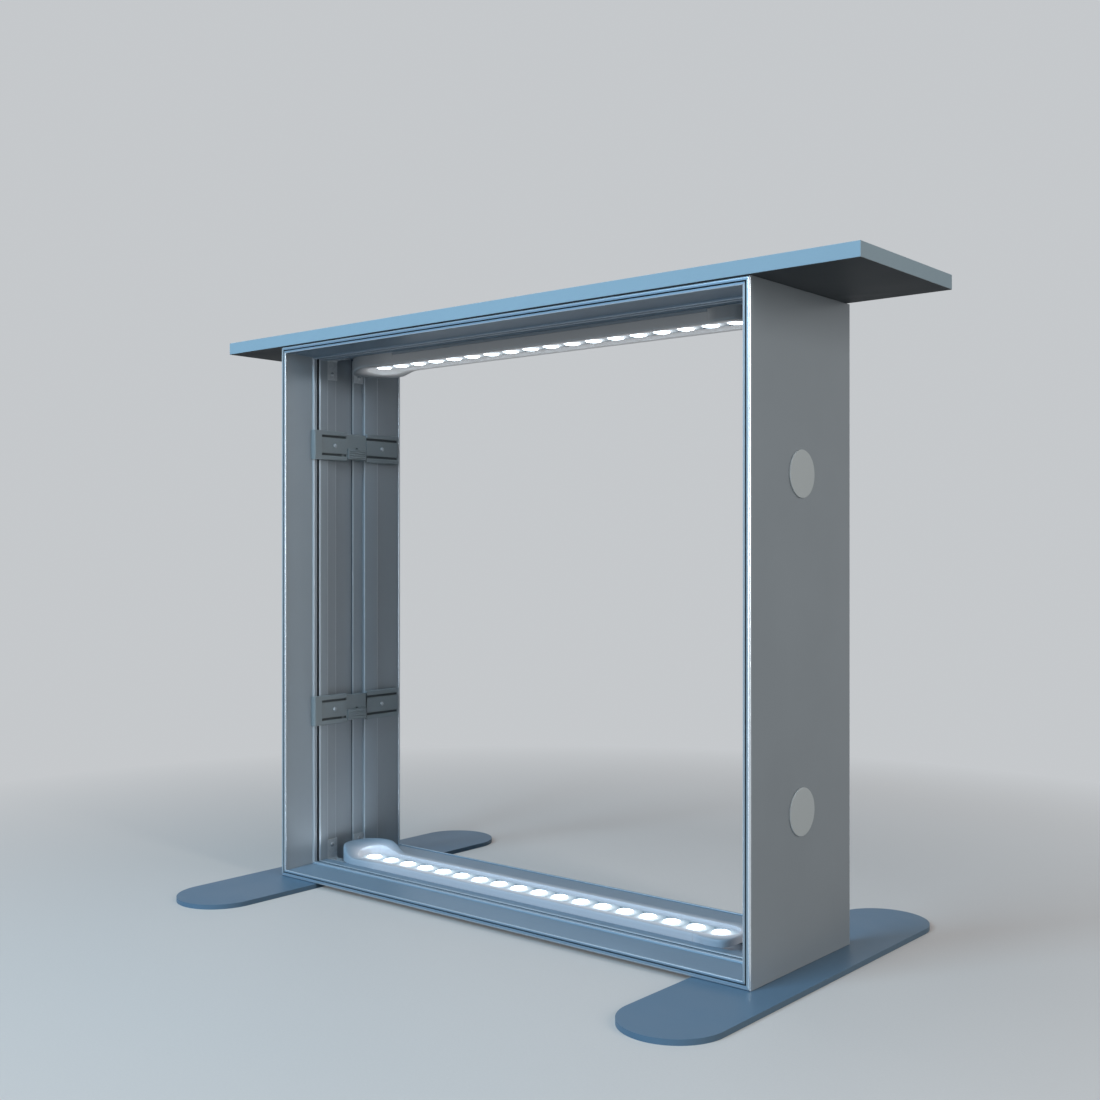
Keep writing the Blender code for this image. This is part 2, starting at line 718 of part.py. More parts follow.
def bar_end_holes(bar, tray, housings):
    """Holes for screws up through the tray's base into the tongues of the housings."""
    spots = []
    for joint, side in ((bar.left_joint, 1), (bar.right_joint, -1)):
        for y in (-1, 1):
            across = y * BAR_HOLE_ACROSS_SHARE * (-FRONT - FLOOR_IN)
            head = bar.place(joint + side * TONGUE_LENGTH / 2, across, 0)
            spots.append((head, bar.outward()))
    hole = plain_hole(BAR_HOLE_RADIUS, BAR_HOLE_DEPTH)
    bores(f"{bar.name}_end_holes", hole, spots, SCREW_SIDES, [tray] + housings)


def lens_profile():
    """A low dome on a short foot, from inside the board to its top."""
    points = [(0, -BOARD_THICKNESS / 2), (LENS_RADIUS, -BOARD_THICKNESS / 2)]
    for k in range(LENS_STEPS):
        turn = math.pi / 2 * k / LENS_STEPS
        points.append((LENS_RADIUS * math.cos(turn), LENS_FOOT + LENS_DOME * math.sin(turn)))
    return points + [(0, LENS_FOOT + LENS_DOME)]


def led_board(bar):
    """The long circuit board in the trough, round at both ends, with its row of lenses bonded on."""
    radius = TROUGH_HALF - BOARD_EDGE_GAP
    middle = (bar.first + bar.last) / 2
    low = TROUGH_FLOOR + SEAT_GAP
    high = low + BOARD_THICKNESS
    mesh = prism([stadium(LENS_SPAN / 2, radius, 8)],
                 lambda x, y: bar.place(middle + x, y, low),
                 lambda x, y: bar.place(middle + x, y, high))
    made = node(f"{bar.name}_led_board", mesh, BOARD_WHITE)
    lenses = bmesh.new()
    for k in range(LENS_COUNT):
        x = bar.first + k * LENS_PITCH
        add_turned(lenses, lens_profile(), aimed(bar.place(x, 0, high), bar.outward()), LENS_SIDES)
    boolean(made, guide(f"{bar.name}_lenses", lenses), "UNION")


def bar_inlet(bar, housing):
    """A barrel socket in the rear wall of the left housing."""
    flange, length = INLET_FLANGE, INLET_LENGTH
    profile = [
        (0, -INLET_BORE_DEPTH), (INLET_BORE, -INLET_BORE_DEPTH), (INLET_BORE, flange),
        (INLET_FLANGE_RADIUS, flange), (INLET_FLANGE_RADIUS, 0), (INLET_RADIUS, 0),
        (INLET_RADIUS, -length), (0, -length),
    ]
    height = INLET_HEIGHT - bar.seat
    mouth = bar.place(bar.first, HOUSING_HALF + SEAT_GAP, height)
    turned(f"{bar.name}_inlet", profile, aimed(mouth, (0, 1, 0)), SOCKET_SIDES, BLACK_NYLON)
    hole = bmesh.new()
    radius, depth = INLET_RADIUS + RADIAL_GAP, length + RADIAL_GAP
    add_turned(hole, [(0, CUT_OVERRUN), (radius, CUT_OVERRUN), (radius, -depth), (0, -depth)],
               aimed(mouth, (0, 1, 0)), SOCKET_SIDES)
    boolean(housing, guide(f"{bar.name}_inlet_hole", hole), "DIFFERENCE")


def light_bar(bar):
    tray = bar_tray(bar)
    housings = [bar_housing(bar, "left"), bar_housing(bar, "right")]
    bar_end_holes(bar, tray, housings)
    led_board(bar)
    bar_inlet(bar, housings[0])


def magnets(bar):
    """Discs in the centre channel that hold the bottom tray down."""
    thick = bar.seat - FLOOR_HEIGHT - 2 * SEAT_GAP
    for k, share in enumerate(MAGNET_SHARES):
        x = bar.along_tray(share)
        profile = [(0, 0), (MAGNET_RADIUS, 0), (MAGNET_RADIUS, thick), (0, thick)]
        place = aimed(on_bottom(x - FRAME_SHIFT, 0, FLOOR_HEIGHT + SEAT_GAP), (0, 0, 1))
        turned(f"{bar.name}_magnet_{k + 1}", profile, place, 2 * BOLT_SIDES, MAGNET_NICKEL)


def hangers(bar):
    """Arched rails on the lands, end to end, that hold the top tray off the profile."""
    high = -SEAT_GAP
    low = high - (bar.drop - SEAT_GAP)
    arch = high - HANGER_WEB_SHARE * (high - low)
    half, opening = BAR_HALF, HANGER_OPEN_SHARE * BAR_HALF
    outline = [(-half, low), (-opening, low), (-opening, arch), (opening, arch),
               (opening, low), (half, low), (half, high), (-half, high)]
    for k in range(HANGER_COUNT):
        start = bar.along_tray(k / HANGER_COUNT) + SEAT_GAP / 2
        end = bar.along_tray((k + 1) / HANGER_COUNT) - SEAT_GAP / 2
        mesh = prism([outline], lambda y, height: bar.place(start, y, height),
                     lambda y, height: bar.place(end, y, height))
        node(f"{bar.name}_hanger_{k + 1}", mesh, WHITE_PLASTIC)


# Countertop and its fixings


def countertop():
    """The worktop slab, with blind holes for its inserts."""
    low, high = FRAME_TOP + SEAT_GAP, FRAME_TOP + SEAT_GAP + TOP_THICKNESS
    mesh = bmesh.new()
    add_box(mesh, (-TOP_LENGTH / 2, FRONT - TOP_FRONT_LAP, low),
            (TOP_LENGTH / 2, -FRONT - TOP_REAR_SETBACK, high))
    return node("countertop", mesh, WHITE_LAMINATE)


def thumb_spots():
    """Names and points on the top profile's lands where the thumb screws pass."""
    spots = {}
    for hand, side in (("left", -1), ("right", 1)):
        for end, sign in (("front", -1), ("rear", 1)):
            along = side * THUMB_ACROSS_SHARE * FRAME_WIDTH
            spots[f"{hand}_{end}"] = on_top(along, sign * (-FRONT - LAND_MIDDLE), LAND_HEIGHT)
    return spots


def countertop_fixings(board, top_profile):
    head = THUMB_HEAD_SHARE * TOP_BAR_DROP
    reach = LAND_HEIGHT + SEAT_GAP + INSERT_LENGTH
    pockets, holes = bmesh.new(), bmesh.new()
    for name, spot in thumb_spots().items():
        place = aimed(spot, (0, 0, 1))
        under = -SEAT_GAP - head
        stem = [(0, under), (THUMB_HEAD_RADIUS, under), (THUMB_HEAD_RADIUS, -SEAT_GAP),
                (THUMB_SHANK, -SEAT_GAP), (THUMB_SHANK, reach - SEAT_GAP), (0, reach - SEAT_GAP)]
        turned(f"thumbscrew_{name}", stem, place, BOLT_SIDES, BLACK_NYLON)
        through = THUMB_SHANK + RADIAL_GAP
        bottom = LAND_HEIGHT + SEAT_GAP
        ring = [(through, bottom + SEAT_GAP), (INSERT_RADIUS, bottom + SEAT_GAP),
                (INSERT_RADIUS, reach), (through, reach)]
        turned(f"insert_{name}", ring, place, BOLT_SIDES, BRASS, ring=True)
        pocket, end = INSERT_RADIUS + RADIAL_GAP, reach + SEAT_GAP
        add_turned(pockets, [(0, 0), (pocket, 0), (pocket, end), (0, end)], place, BOLT_SIDES)
        add_turned(holes, plain_hole(through, LAND_HEIGHT + CUT_OVERRUN), place, BOLT_SIDES)
    boolean(board, guide("insert_pockets", pockets), "DIFFERENCE")
    boolean(top_profile, guide("thumbscrew_holes", holes), "DIFFERENCE")


# Port caps


def cap_profile():
    """A thin disc with a rounded edge and a skirt, as a ring of (radius, height) closed on the axis."""
    rim, skirt = PORT_RADIUS + CAP_FLANGE, PORT_RADIUS - RADIAL_GAP
    inner = skirt - CAP_WALL
    top, under = SEAT_GAP + CAP_THICKNESS, SEAT_GAP
    return [(0, top), (rim - CAP_EDGE, top), (rim, top - CAP_EDGE), (rim, under), (skirt, under),
            (skirt, -CAP_SKIRT), (inner, -CAP_SKIRT), (inner, under), (0, under)]


def port_caps(right_profile):
    """Two blanking caps that pull straight out of round ports in the right side."""
    ports = bmesh.new()
    for name, share in zip(("upper", "lower"), PORT_HEIGHT_SHARES):
        along = share * FRAME_HEIGHT - FRAME_HEIGHT / 2
        centre = on_right(along, PORT_DEPTH_SHIFT, 0)
        axis = pivot(f"{name}_port_cap_axis", centre)
        turned(f"{name}_port_cap", cap_profile(), aimed(centre, (1, 0, 0)), ROUND_SIDES, CAP_PLASTIC,
               origin=centre, parent=axis)
        deep = RIDGE_HEIGHT + CUT_OVERRUN
        bore = [(0, CUT_OVERRUN), (PORT_RADIUS, CUT_OVERRUN), (PORT_RADIUS, -deep), (0, -deep)]
        add_turned(ports, bore, aimed(centre, (1, 0, 0)), ROUND_SIDES)
    boolean(right_profile, guide("side_ports", ports), "DIFFERENCE")


# Bridge clips


def clip_place(middle):
    """Places (depth in from the front, height from the clip's middle, height off the outer face)."""
    return lambda depth_in, up, height: on_left(middle + up, FRONT + depth_in, height)


def clip_section():
    """(up, height) of a clip plate: a bead along each edge, a groove inside it and a pad between."""
    half, web = CLIP_HEIGHT / 2, CLIP_BASE + CLIP_WEB
    bead, pad = CLIP_BASE + CLIP_BEAD_RISE, CLIP_BASE + CLIP_PAD_RISE
    inner = half - CLIP_BEAD
    shoulder = inner - CLIP_GROOVE
    side = [(half, CLIP_BASE), (half, bead - CLIP_CHAMFER), (half - CLIP_CHAMFER, bead),
            (inner + CLIP_CHAMFER, bead), (inner, bead - CLIP_CHAMFER), (inner, web),
            (shoulder, web), (shoulder, pad - CLIP_CHAMFER), (shoulder - CLIP_CHAMFER, pad)]
    return side + [(-up, height) for up, height in reversed(side)]


def clip_front_span():
    """Depths in of the front plate: the hook's outer face, its inner face, the head's end, the tail's end."""
    inner = RIDGE_IN - SEAT_GAP
    outer = inner - HOOK_THICKNESS
    return outer, inner, outer + CLIP_HEAD, FLOOR_IN + CLIP_FRONT_TAIL


def clip_screw_depths():
    """The front screw stands on the land, the rear one behind the rear ridge."""
    return LAND_MIDDLE, FRAME_DEPTH - RIDGE_IN + SEAT_GAP + CLIP_BOSS_RADIUS


def add_boss(place, name, depth_in, foot):
    """A round boss from a plate down to the profile."""
    boss = bmesh.new()
    origin = place(depth_in, 0, foot)
    rise = CLIP_BASE + CLIP_WEB - foot
    add_turned(boss, [(0, 0), (CLIP_BOSS_RADIUS, 0), (CLIP_BOSS_RADIUS, rise), (0, rise)],
               aimed(origin, (1, 0, 0)), SOCKET_SIDES)
    return guide(name, boss)


def clip_front(name, place):
    """The front plate: it hooks over the front ridge."""
    outer, inner, head, tail = clip_front_span()
    mesh = prism([clip_section()], lambda up, h: place(head - CLIP_CHAMFER, up, h),
                 lambda up, h: place(tail, up, h))
    made = node(f"{name}_front_plate", mesh, WHITE_PLASTIC)
    toe, bead = BAND_HIGH + SEAT_GAP, CLIP_BASE + CLIP_BEAD_RISE
    nose = [(outer, toe), (inner, toe), (inner, CLIP_BASE), (head, CLIP_BASE), (head, bead),
            (outer + HOOK_THICKNESS, bead), (outer, bead - HOOK_THICKNESS)]
    half = CLIP_HEIGHT / 2
    block = prism([nose], lambda d, h: place(d, -half, h), lambda d, h: place(d, half, h))
    boolean(made, guide(f"{name}_hook_block", block), "UNION")
    boolean(made, add_boss(place, f"{name}_front_boss", LAND_MIDDLE, LAND_HEIGHT + SEAT_GAP), "UNION")
    low = -half + CLIP_BEAD
    notch = bmesh.new()
    end = tail - NOTCH_SETBACK
    add_box(notch, place(end - NOTCH_LENGTH, low, CLIP_BASE - CUT_OVERRUN),
            place(end, low + CLIP_GROOVE, CLIP_BASE + CLIP_BEAD_RISE + CUT_OVERRUN))
    boolean(made, guide(f"{name}_notch", notch), "DIFFERENCE")
    return made


def clip_rear(name, place):
    """The rear plate: it lies on the rear ridge and reaches a foot down to the rear band."""
    start, end = FRAME_DEPTH - LAND_IN, FRAME_DEPTH - CLIP_REAR_SETBACK
    mesh = prism([clip_section()], lambda up, h: place(start, up, h), lambda up, h: place(end, up, h))
    made = node(f"{name}_rear_plate", mesh, WHITE_PLASTIC)
    half = CLIP_HEIGHT / 2
    share = (CLIP_REAR_SETBACK + CLIP_REAR_FOOT - LIP_THICKNESS) / (RIDGE_IN - LIP_THICKNESS)
    toe = band_height(share) + SEAT_GAP
    foot_block = bmesh.new()
    add_box(foot_block, place(end - CLIP_REAR_FOOT, -half, toe), place(end, half, CLIP_BASE + CLIP_WEB))
    boolean(made, guide(f"{name}_rear_foot", foot_block), "UNION")
    boss = add_boss(place, f"{name}_rear_boss", clip_screw_depths()[1], BAND_HIGH + SEAT_GAP)
    boolean(made, boss, "UNION")
    return made


def clip_bridge(name, place, plates):
    """The middle piece: lower and narrower, its two tongues held in pockets under the plates."""
    start = clip_front_span()[3] + SEAT_GAP
    end = FRAME_DEPTH - LAND_IN - SEAT_GAP
    half = CLIP_HEIGHT / 2 - BRIDGE_INSET
    top = CLIP_BASE + BRIDGE_RISE
    inner = half - CLIP_BEAD + BRIDGE_INSET
    outline = [(-half, CLIP_BASE), (half, CLIP_BASE), (half, top - CLIP_CHAMFER),
               (half - CLIP_CHAMFER, top), (-half + CLIP_CHAMFER, top), (-half, top - CLIP_CHAMFER)]
    mesh = prism([outline], lambda up, h: place(start, up, h), lambda up, h: place(end, up, h))
    made = node(f"{name}_bridge", mesh, WHITE_PLASTIC)
    tongue = bmesh.new()
    add_box(tongue, place(start - BRIDGE_TONGUE, -inner, CLIP_BASE),
            place(end + BRIDGE_TONGUE, inner, CLIP_BASE + BRIDGE_TONGUE_RISE))
    boolean(made, guide(f"{name}_tongues", tongue), "UNION")
    pocket = bmesh.new()
    reach, side = BRIDGE_TONGUE + SEAT_GAP, inner + SEAT_GAP
    add_box(pocket, place(start - reach, -side, CLIP_BASE - CUT_OVERRUN),
            place(end + reach, side, CLIP_BASE + BRIDGE_TONGUE_RISE + SEAT_GAP))
    tool = guide(f"{name}_tongue_pockets", pocket)
    for plate in plates:
        boolean(plate, tool, "DIFFERENCE")
    return made


def latch_depths():
    start = clip_front_span()[3] + LATCH_END_GAP
    return start, FRAME_DEPTH - LAND_IN - LATCH_END_GAP


def latch_low():
    """Height of the latch's lower edge from the clip's middle."""
    return -CLIP_HEIGHT / 2 + BRIDGE_INSET + LATCH_BOTTOM_GAP


def clip_latch(name, place, bridge):
    """A ribbed thumb slide; its stem passes a slot in the bridge to a keeper behind it."""
    start, end = latch_depths()
    low = latch_low()
    high = low + LATCH_HEIGHT
    seat = CLIP_BASE + BRIDGE_RISE + SEAT_GAP
    face = seat + LATCH_THICKNESS
    rib_pitch = LATCH_HEIGHT / (LATCH_RIBS + 1)
    rib_half = LATCH_RIB_SHARE * rib_pitch / 2
    outline = [(low, seat), (low, face)]
    for k in range(LATCH_RIBS):
        middle = low + (k + 1) * rib_pitch
        outline += [(middle - rib_half, face), (middle - rib_half / 2, face + LATCH_RIB_RISE),
                    (middle + rib_half / 2, face + LATCH_RIB_RISE), (middle + rib_half, face)]
    outline += [(high, face), (high, seat)]
    centre, half = (start + end) / 2, (end - start) / 2
    rib_end = half * LATCH_RIB_LENGTH_SHARE
    body = prism([outline], lambda up, h: place(centre - rib_end, up, h),
                 lambda up, h: place(centre + rib_end, up, h))
    axis = pivot(f"{name}_latch_axis", place(centre, (low + high) / 2, seat))
    made = node(f"{name}_latch", body, WHITE_PLASTIC, origin=axis.location, parent=axis)
    margin = bmesh.new()
    add_box(margin, place(start, low, seat), place(end, high, face))
    boolean(made, guide(f"{name}_latch_plate", margin), "UNION")
    middle = (low + high) / 2
    under = CLIP_BASE - SEAT_GAP
    stem = bmesh.new()
    add_box(stem, place(centre - STEM_WIDTH / 2, middle - STEM_HEIGHT / 2, under - KEEPER_THICKNESS / 2),
            place(centre + STEM_WIDTH / 2, middle + STEM_HEIGHT / 2, seat + LATCH_THICKNESS / 2))
    boolean(made, guide(f"{name}_latch_stem", stem), "UNION")
    keeper = bmesh.new()
    add_box(keeper, place(centre - KEEPER_WIDTH / 2, middle - STEM_HEIGHT / 2, under - KEEPER_THICKNESS),
            place(centre + KEEPER_WIDTH / 2, middle + STEM_HEIGHT / 2, under))
    boolean(made, guide(f"{name}_latch_keeper", keeper), "UNION")
    slot = bmesh.new()
    side, gap = STEM_WIDTH / 2 + STEM_GAP, STEM_HEIGHT / 2 + STEM_GAP
    add_box(slot, place(centre - side, middle - gap, CLIP_BASE - CUT_OVERRUN),
            place(centre + side, middle + gap + LATCH_TRAVEL, seat + CUT_OVERRUN))
    boolean(bridge, guide(f"{name}_latch_slot", slot), "DIFFERENCE")


def clip_screws(name, place, plates, wall):
    """A domed screw through each plate and its boss into the profile."""
    pad = CLIP_BASE + CLIP_PAD_RISE + SEAT_GAP
    shank, head, dome = CLIP_SCREW_SHANK, CLIP_SCREW_HEAD, CLIP_SCREW_DOME
    end = LAND_HEIGHT - 2 * PROFILE_WALL - pad
    holes = bmesh.new()
    for end_name, depth_in in zip(("front", "rear"), clip_screw_depths()):
        at = aimed(place(depth_in, 0, pad), (1, 0, 0))
        turns = [math.pi / 2 * k / 3 for k in range(1, 3)]
        cap = [(head * math.cos(a), dome * math.sin(a)) for a in turns]
        profile = [(0, end), (shank, end), (shank, 0), (head, 0)] + cap + [(0, dome)]
        turned(f"{name}_{end_name}_screw", profile, at, BOLT_SIDES, ZINC_STEEL)
        hole = shank + RADIAL_GAP
        low = end - SEAT_GAP
        add_turned(holes, [(0, low), (hole, low), (hole, CUT_OVERRUN), (0, CUT_OVERRUN)], at, BOLT_SIDES)
    tool = guide(f"{name}_screw_holes", holes)
    for target in plates + [wall]:
        boolean(target, tool, "DIFFERENCE")


def bridge_clips(left_profile):
    for name, share in zip(("upper_clip", "lower_clip"), CLIP_HEIGHT_SHARES):
        place = clip_place(share * FRAME_HEIGHT - FRAME_HEIGHT / 2)
        plates = [clip_front(name, place), clip_rear(name, place)]
        bridge = clip_bridge(name, place, plates)
        clip_latch(name, place, bridge)
        clip_screws(name, place, plates, left_profile)


def build():
    clear_scene()
    profiles = frame_profiles()
    port_caps(profiles["right"])
    brackets = corners(profiles)
    for hand, side in (("left", -1), ("right", 1)):
        foot(hand, side, profiles, brackets)
    bottom_bar = Bar("bottom_bar", BOTTOM_BAR_LEFT_ROOM, 0, False)
    top_bar = Bar("top_bar", TOP_BAR_LEFT_ROOM, TOP_BAR_DROP, True)
    for bar in (bottom_bar, top_bar):
        light_bar(bar)
    magnets(bottom_bar)
    hangers(top_bar)
    countertop_fixings(countertop(), profiles["top"])
    bridge_clips(profiles["left"])


build()
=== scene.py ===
# %% [markdown]
# Lightbox counter. The real object is a free standing light box frame: four wide aluminium
# profiles mitred into a window, a worktop on it, two long foot plates under it, a bar of lenses
# at the bottom and one at the top. The imported model gives every place and size, and this lesson
# dresses it.
# %% Load the imported model
import math
from collections import namedtuple

import bmesh
import bpy
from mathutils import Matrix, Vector
from mathutils.geometry import tessellate_polygon


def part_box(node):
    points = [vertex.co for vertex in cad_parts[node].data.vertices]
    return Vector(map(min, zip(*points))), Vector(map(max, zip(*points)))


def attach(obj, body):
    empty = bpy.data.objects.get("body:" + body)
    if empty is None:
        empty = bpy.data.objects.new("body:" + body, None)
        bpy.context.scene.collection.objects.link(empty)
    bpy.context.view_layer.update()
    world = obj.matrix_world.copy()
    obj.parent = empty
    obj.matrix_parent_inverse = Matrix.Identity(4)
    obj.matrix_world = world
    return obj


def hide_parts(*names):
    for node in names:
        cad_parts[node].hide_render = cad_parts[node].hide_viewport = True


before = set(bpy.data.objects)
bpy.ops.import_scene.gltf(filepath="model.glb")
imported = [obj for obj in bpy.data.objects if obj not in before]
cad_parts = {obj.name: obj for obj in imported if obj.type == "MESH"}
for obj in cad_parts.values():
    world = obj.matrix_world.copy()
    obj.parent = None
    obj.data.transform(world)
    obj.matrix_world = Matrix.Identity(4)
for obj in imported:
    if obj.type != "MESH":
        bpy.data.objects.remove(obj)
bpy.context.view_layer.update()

# %% [markdown]
# The camera stands at the height of a person who crouches, to the right of the counter, and looks
# level. The photograph's upright edges are parallel, so the camera isn't tilted. Its place and
# focal length were fitted to the corners of the frame. A tool for matching vanishing points would
# find them too; here they are plain numbers, because they are all that Blender needs.
# %% Camera
CAMERA_PLACE, CAMERA_TURN = (1.4464, -1.6934, 0.6059), 0.7008
CAMERA_LENS, CAMERA_SENSOR, CAMERA_REACH = 43.54, 36, 200


def placed(name, data):
    """A new object in the scene."""
    thing = bpy.data.objects.new(name, data)
    bpy.context.scene.collection.objects.link(thing)
    return thing


camera_data = bpy.data.cameras.new("camera")
camera_data.lens, camera_data.sensor_width, camera_data.clip_end = CAMERA_LENS, CAMERA_SENSOR, CAMERA_REACH
camera = placed("camera", camera_data)
camera.location = CAMERA_PLACE
camera.rotation_euler = (math.pi / 2, 0, CAMERA_TURN)
bpy.context.scene.camera = camera
print("camera at", CAMERA_PLACE, "lens", CAMERA_LENS)

# %% [markdown]
# A material is a small tree of nodes. Writing each link by hand is long, so a short class keeps
# the tree, adds nodes and joins them. Every pattern reads Object coordinates: the pieces lie at
# the origin, so those are metres in the counter's own frame, and a grain that is stretched along
# X runs along the real piece.
# %% A small helper for materials


class Recipe:
    """The nodes of one material, or of the world."""

    def __init__(self, name, owner=None):
        self.material = owner or bpy.data.materials.new(name)
        self.material.use_nodes = True
        self.tree = self.material.node_tree
        self.shader = self.tree.nodes.get("Principled BSDF")
        self.place = self.add("ShaderNodeTexCoord").outputs["Object"] if self.shader else None

    def add(self, kind, **settings):
        node = self.tree.nodes.new(kind)
        for key, value in settings.items():
            setattr(node, key, value)
        return node

    def feed(self, socket, value):
        """Joins an input to another node, or sets its number or colour."""
        if isinstance(value, bpy.types.NodeSocket):
            self.tree.links.new(value, socket)
        else:
            socket.default_value = (*value, 1) if socket.type == "RGBA" else value

    def put(self, node, **values):
        """Feeds inputs by their names, with _ for a space."""
        for key, value in values.items():
            self.feed(node.inputs[key.replace("_", " ")], value)
        return node

    def noise(self, scale, detail=3.0, rough=0.5):
        """Noise in Object coordinates; a list of three scales stretches it."""
        place = self.place
        if isinstance(scale, list):
            place = self.put(self.add("ShaderNodeMapping"), Vector=place, Scale=scale).outputs["Vector"]
            scale = 1.0
        node = self.add("ShaderNodeTexNoise")
        return self.put(node, Vector=place, Scale=scale, Detail=detail, Roughness=rough).outputs["Fac"]

    def spread(self, value, low, high, start=0.3, end=0.7):
        """Maps the useful part of a noise to a range."""
        node = self.add("ShaderNodeMapRange")
        self.put(node, Value=value, From_Min=start, From_Max=end, To_Min=low, To_Max=high)
        return node.outputs["Result"]

    def maths(self, operation, first, second=0.0):
        node = self.add("ShaderNodeMath", operation=operation)
        self.feed(node.inputs[0], first)
        self.feed(node.inputs[1], second)
        return node.outputs["Value"]

    def between(self, factor, first, second):
        """A colour between two, by a factor."""
        node = self.add("ShaderNodeMix", data_type="RGBA")
        for number, value in ((0, factor), (6, first), (7, second)):
            self.feed(node.inputs[number], value)
        return node.outputs[2]

    def marked(self, name):
        """A number that the mesh carries."""
        return self.add("ShaderNodeAttribute", attribute_name=name).outputs["Fac"]

    def axes(self):
        return self.put(self.add("ShaderNodeSeparateXYZ"), Vector=self.place).outputs

    def length(self, vector):
        return self.put(self.add("ShaderNodeVectorMath", operation="LENGTH"), Vector=vector).outputs["Value"]

    def distance(self, x, y, z=0.0):
        return self.length(self.put(self.add("ShaderNodeCombineXYZ"), X=x, Y=y, Z=z).outputs["Vector"])

    def bump(self, height, strength, distance):
        node = self.put(self.add("ShaderNodeBump"), Height=height, Strength=strength, Distance=distance)
        self.put(self.shader, Normal=node.outputs["Normal"])

    def surface(self, **values):
        """Sets the shader and returns the material."""
        self.put(self.shader, **values)
        return self.material


def shade(colour, factor):
    return tuple(channel * factor for channel in colour)


# %% [markdown]
# The profiles are extruded aluminium with a satin anodised skin. Extrusion leaves very fine lines
# along the profile, so the grain is a noise squeezed across the profile and stretched along it,
# once for the level profiles and once for the upright ones. The level copy is also bluer, which is
# painted light: the cool light from above that the level faces catch. A second, broad noise gives
# the soft cloudiness of anodising, and a third the faint marks of handling. A number on each face
# paints a highlight on the rounds, where it is above 0, and paints shade in the slot and the
# grooves, where it is below 0.
# %% Satin aluminium
# The level colour is a bluer copy of the upright one: painted light, for the cool light from above on the level
# faces.
UPRIGHT, COOL_LIT_LEVEL, PAINTED_HIGHLIGHT = (0.335, 0.362, 0.385), (0.238, 0.307, 0.376), (0.780, 0.820, 0.860)
GRAIN_ACROSS, GRAIN_ALONG = 900.0, 3.0


def satin_aluminium(name, axis, colour):
    made = Recipe(name)
    scale = [GRAIN_ACROSS] * 3
    scale[axis] = GRAIN_ALONG
    lines, clouds, marks = made.noise(scale, 4.0, 0.6), made.noise(5.0, 4.0, 0.55), made.noise(60.0, 6.0, 0.7)
    tone = made.maths("ADD", made.spread(lines, -0.05, 0.05), made.spread(clouds, 0.35, 0.65))
    skin = made.between(tone, shade(colour, 0.90), shade(colour, 1.10))
    rough = made.maths("ADD", made.spread(lines, 0.33, 0.41), made.spread(marks, -0.008, 0.014))
    # Painted highlight where the face's mark is above 0 (pale, smoother, more metallic), painted shade where it
    # is below 0.
    wear = made.marked("wear")
    skin = made.between(made.spread(wear, 0.0, 1.0, 0.0, 1.0), skin, PAINTED_HIGHLIGHT)
    skin = made.between(made.spread(wear, 0.0, 0.85, 0.0, -1.0), skin, shade(colour, 0.10))
    rough = made.maths("SUBTRACT", rough, made.spread(wear, 0.0, 0.12, 0.0, 1.0))
    made.bump(lines, 0.10, 0.0003)
    return made.surface(Base_Color=skin, Roughness=rough, Specular_IOR_Level=0.15,
                        Metallic=made.spread(wear, 0.15, 0.75, 0.0, 1.0))


level_aluminium = satin_aluminium("satin_aluminium_level", 0, COOL_LIT_LEVEL)
upright_aluminium = satin_aluminium("satin_aluminium_upright", 2, UPRIGHT)
print("materials:", level_aluminium.name, upright_aluminium.name)

# %% [markdown]
# The other finishes are a laminated board, powder coated steel, moulded plastics and small
# metals. Each has its own scale of unevenness: powder coat has the ripple of orange peel at about
# a millimetre, moulded plastic a much finer spark erosion texture, and zinc plating soft patches.
# The worktop's underside is a flat dark grey up to a height in Object coordinates, which is
# painted shade, and faces marked below 0 are darkened with painted shade too.
# %% Board, coats, plastics and small metals
# A flat dark grey for the worktop's underside: painted shade.
UNDERSIDE_SHADE = (0.130, 0.137, 0.141)
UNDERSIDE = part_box("countertop")[0].z


def coated(name, colour, ripple, depth, roughness, gloss=0.15, shaded_underside=None, spill=None):
    """A painted, laminated or moulded skin: broad tone, fine ripple, uneven gloss."""
    made = Recipe(name)
    clouds, fine = made.noise(7.0, 4.0, 0.55), made.noise(ripple, 3.0, 0.55)
    tone = made.maths("ADD", made.spread(fine, -0.12, 0.12), made.spread(clouds, 0.3, 0.7))
    skin = made.between(tone, shade(colour, 0.94), shade(colour, 1.06))
    # Painted shade: faces marked below 0 are darkened.
    painted_shade = made.spread(made.marked("wear"), 0.0, 0.75, 0.0, -1.0)
    skin = made.between(painted_shade, skin, shade(colour, 0.12))
    if shaded_underside:
        skin = made.between(made.spread(made.axes()["Z"], 0.0, 1.0, *shaded_underside), UNDERSIDE_SHADE, skin)
    if spill:
        spill(made)
    made.bump(fine, 0.25, depth)
    return made.surface(Base_Color=skin, Specular_IOR_Level=gloss,
                        Roughness=made.spread(clouds, roughness - 0.05, roughness + 0.06))


def small_metal(name, colour, roughness, metallic=1.0):
    """Plated or turned metal with soft patches and fine scratches."""
    made = Recipe(name)
    patches, scratches = made.noise(180.0), made.noise([3000, 300, 1500], 3.0, 0.6)
    skin = made.between(made.spread(patches, 0.0, 1.0), shade(colour, 0.88), shade(colour, 1.08))
    rough = made.maths("ADD", made.spread(patches, roughness - 0.05, roughness + 0.07),
                       made.spread(scratches, -0.03, 0.04))
    made.bump(scratches, 0.08, 0.0002)
    return made.surface(Base_Color=skin, Roughness=rough, Metallic=metallic)


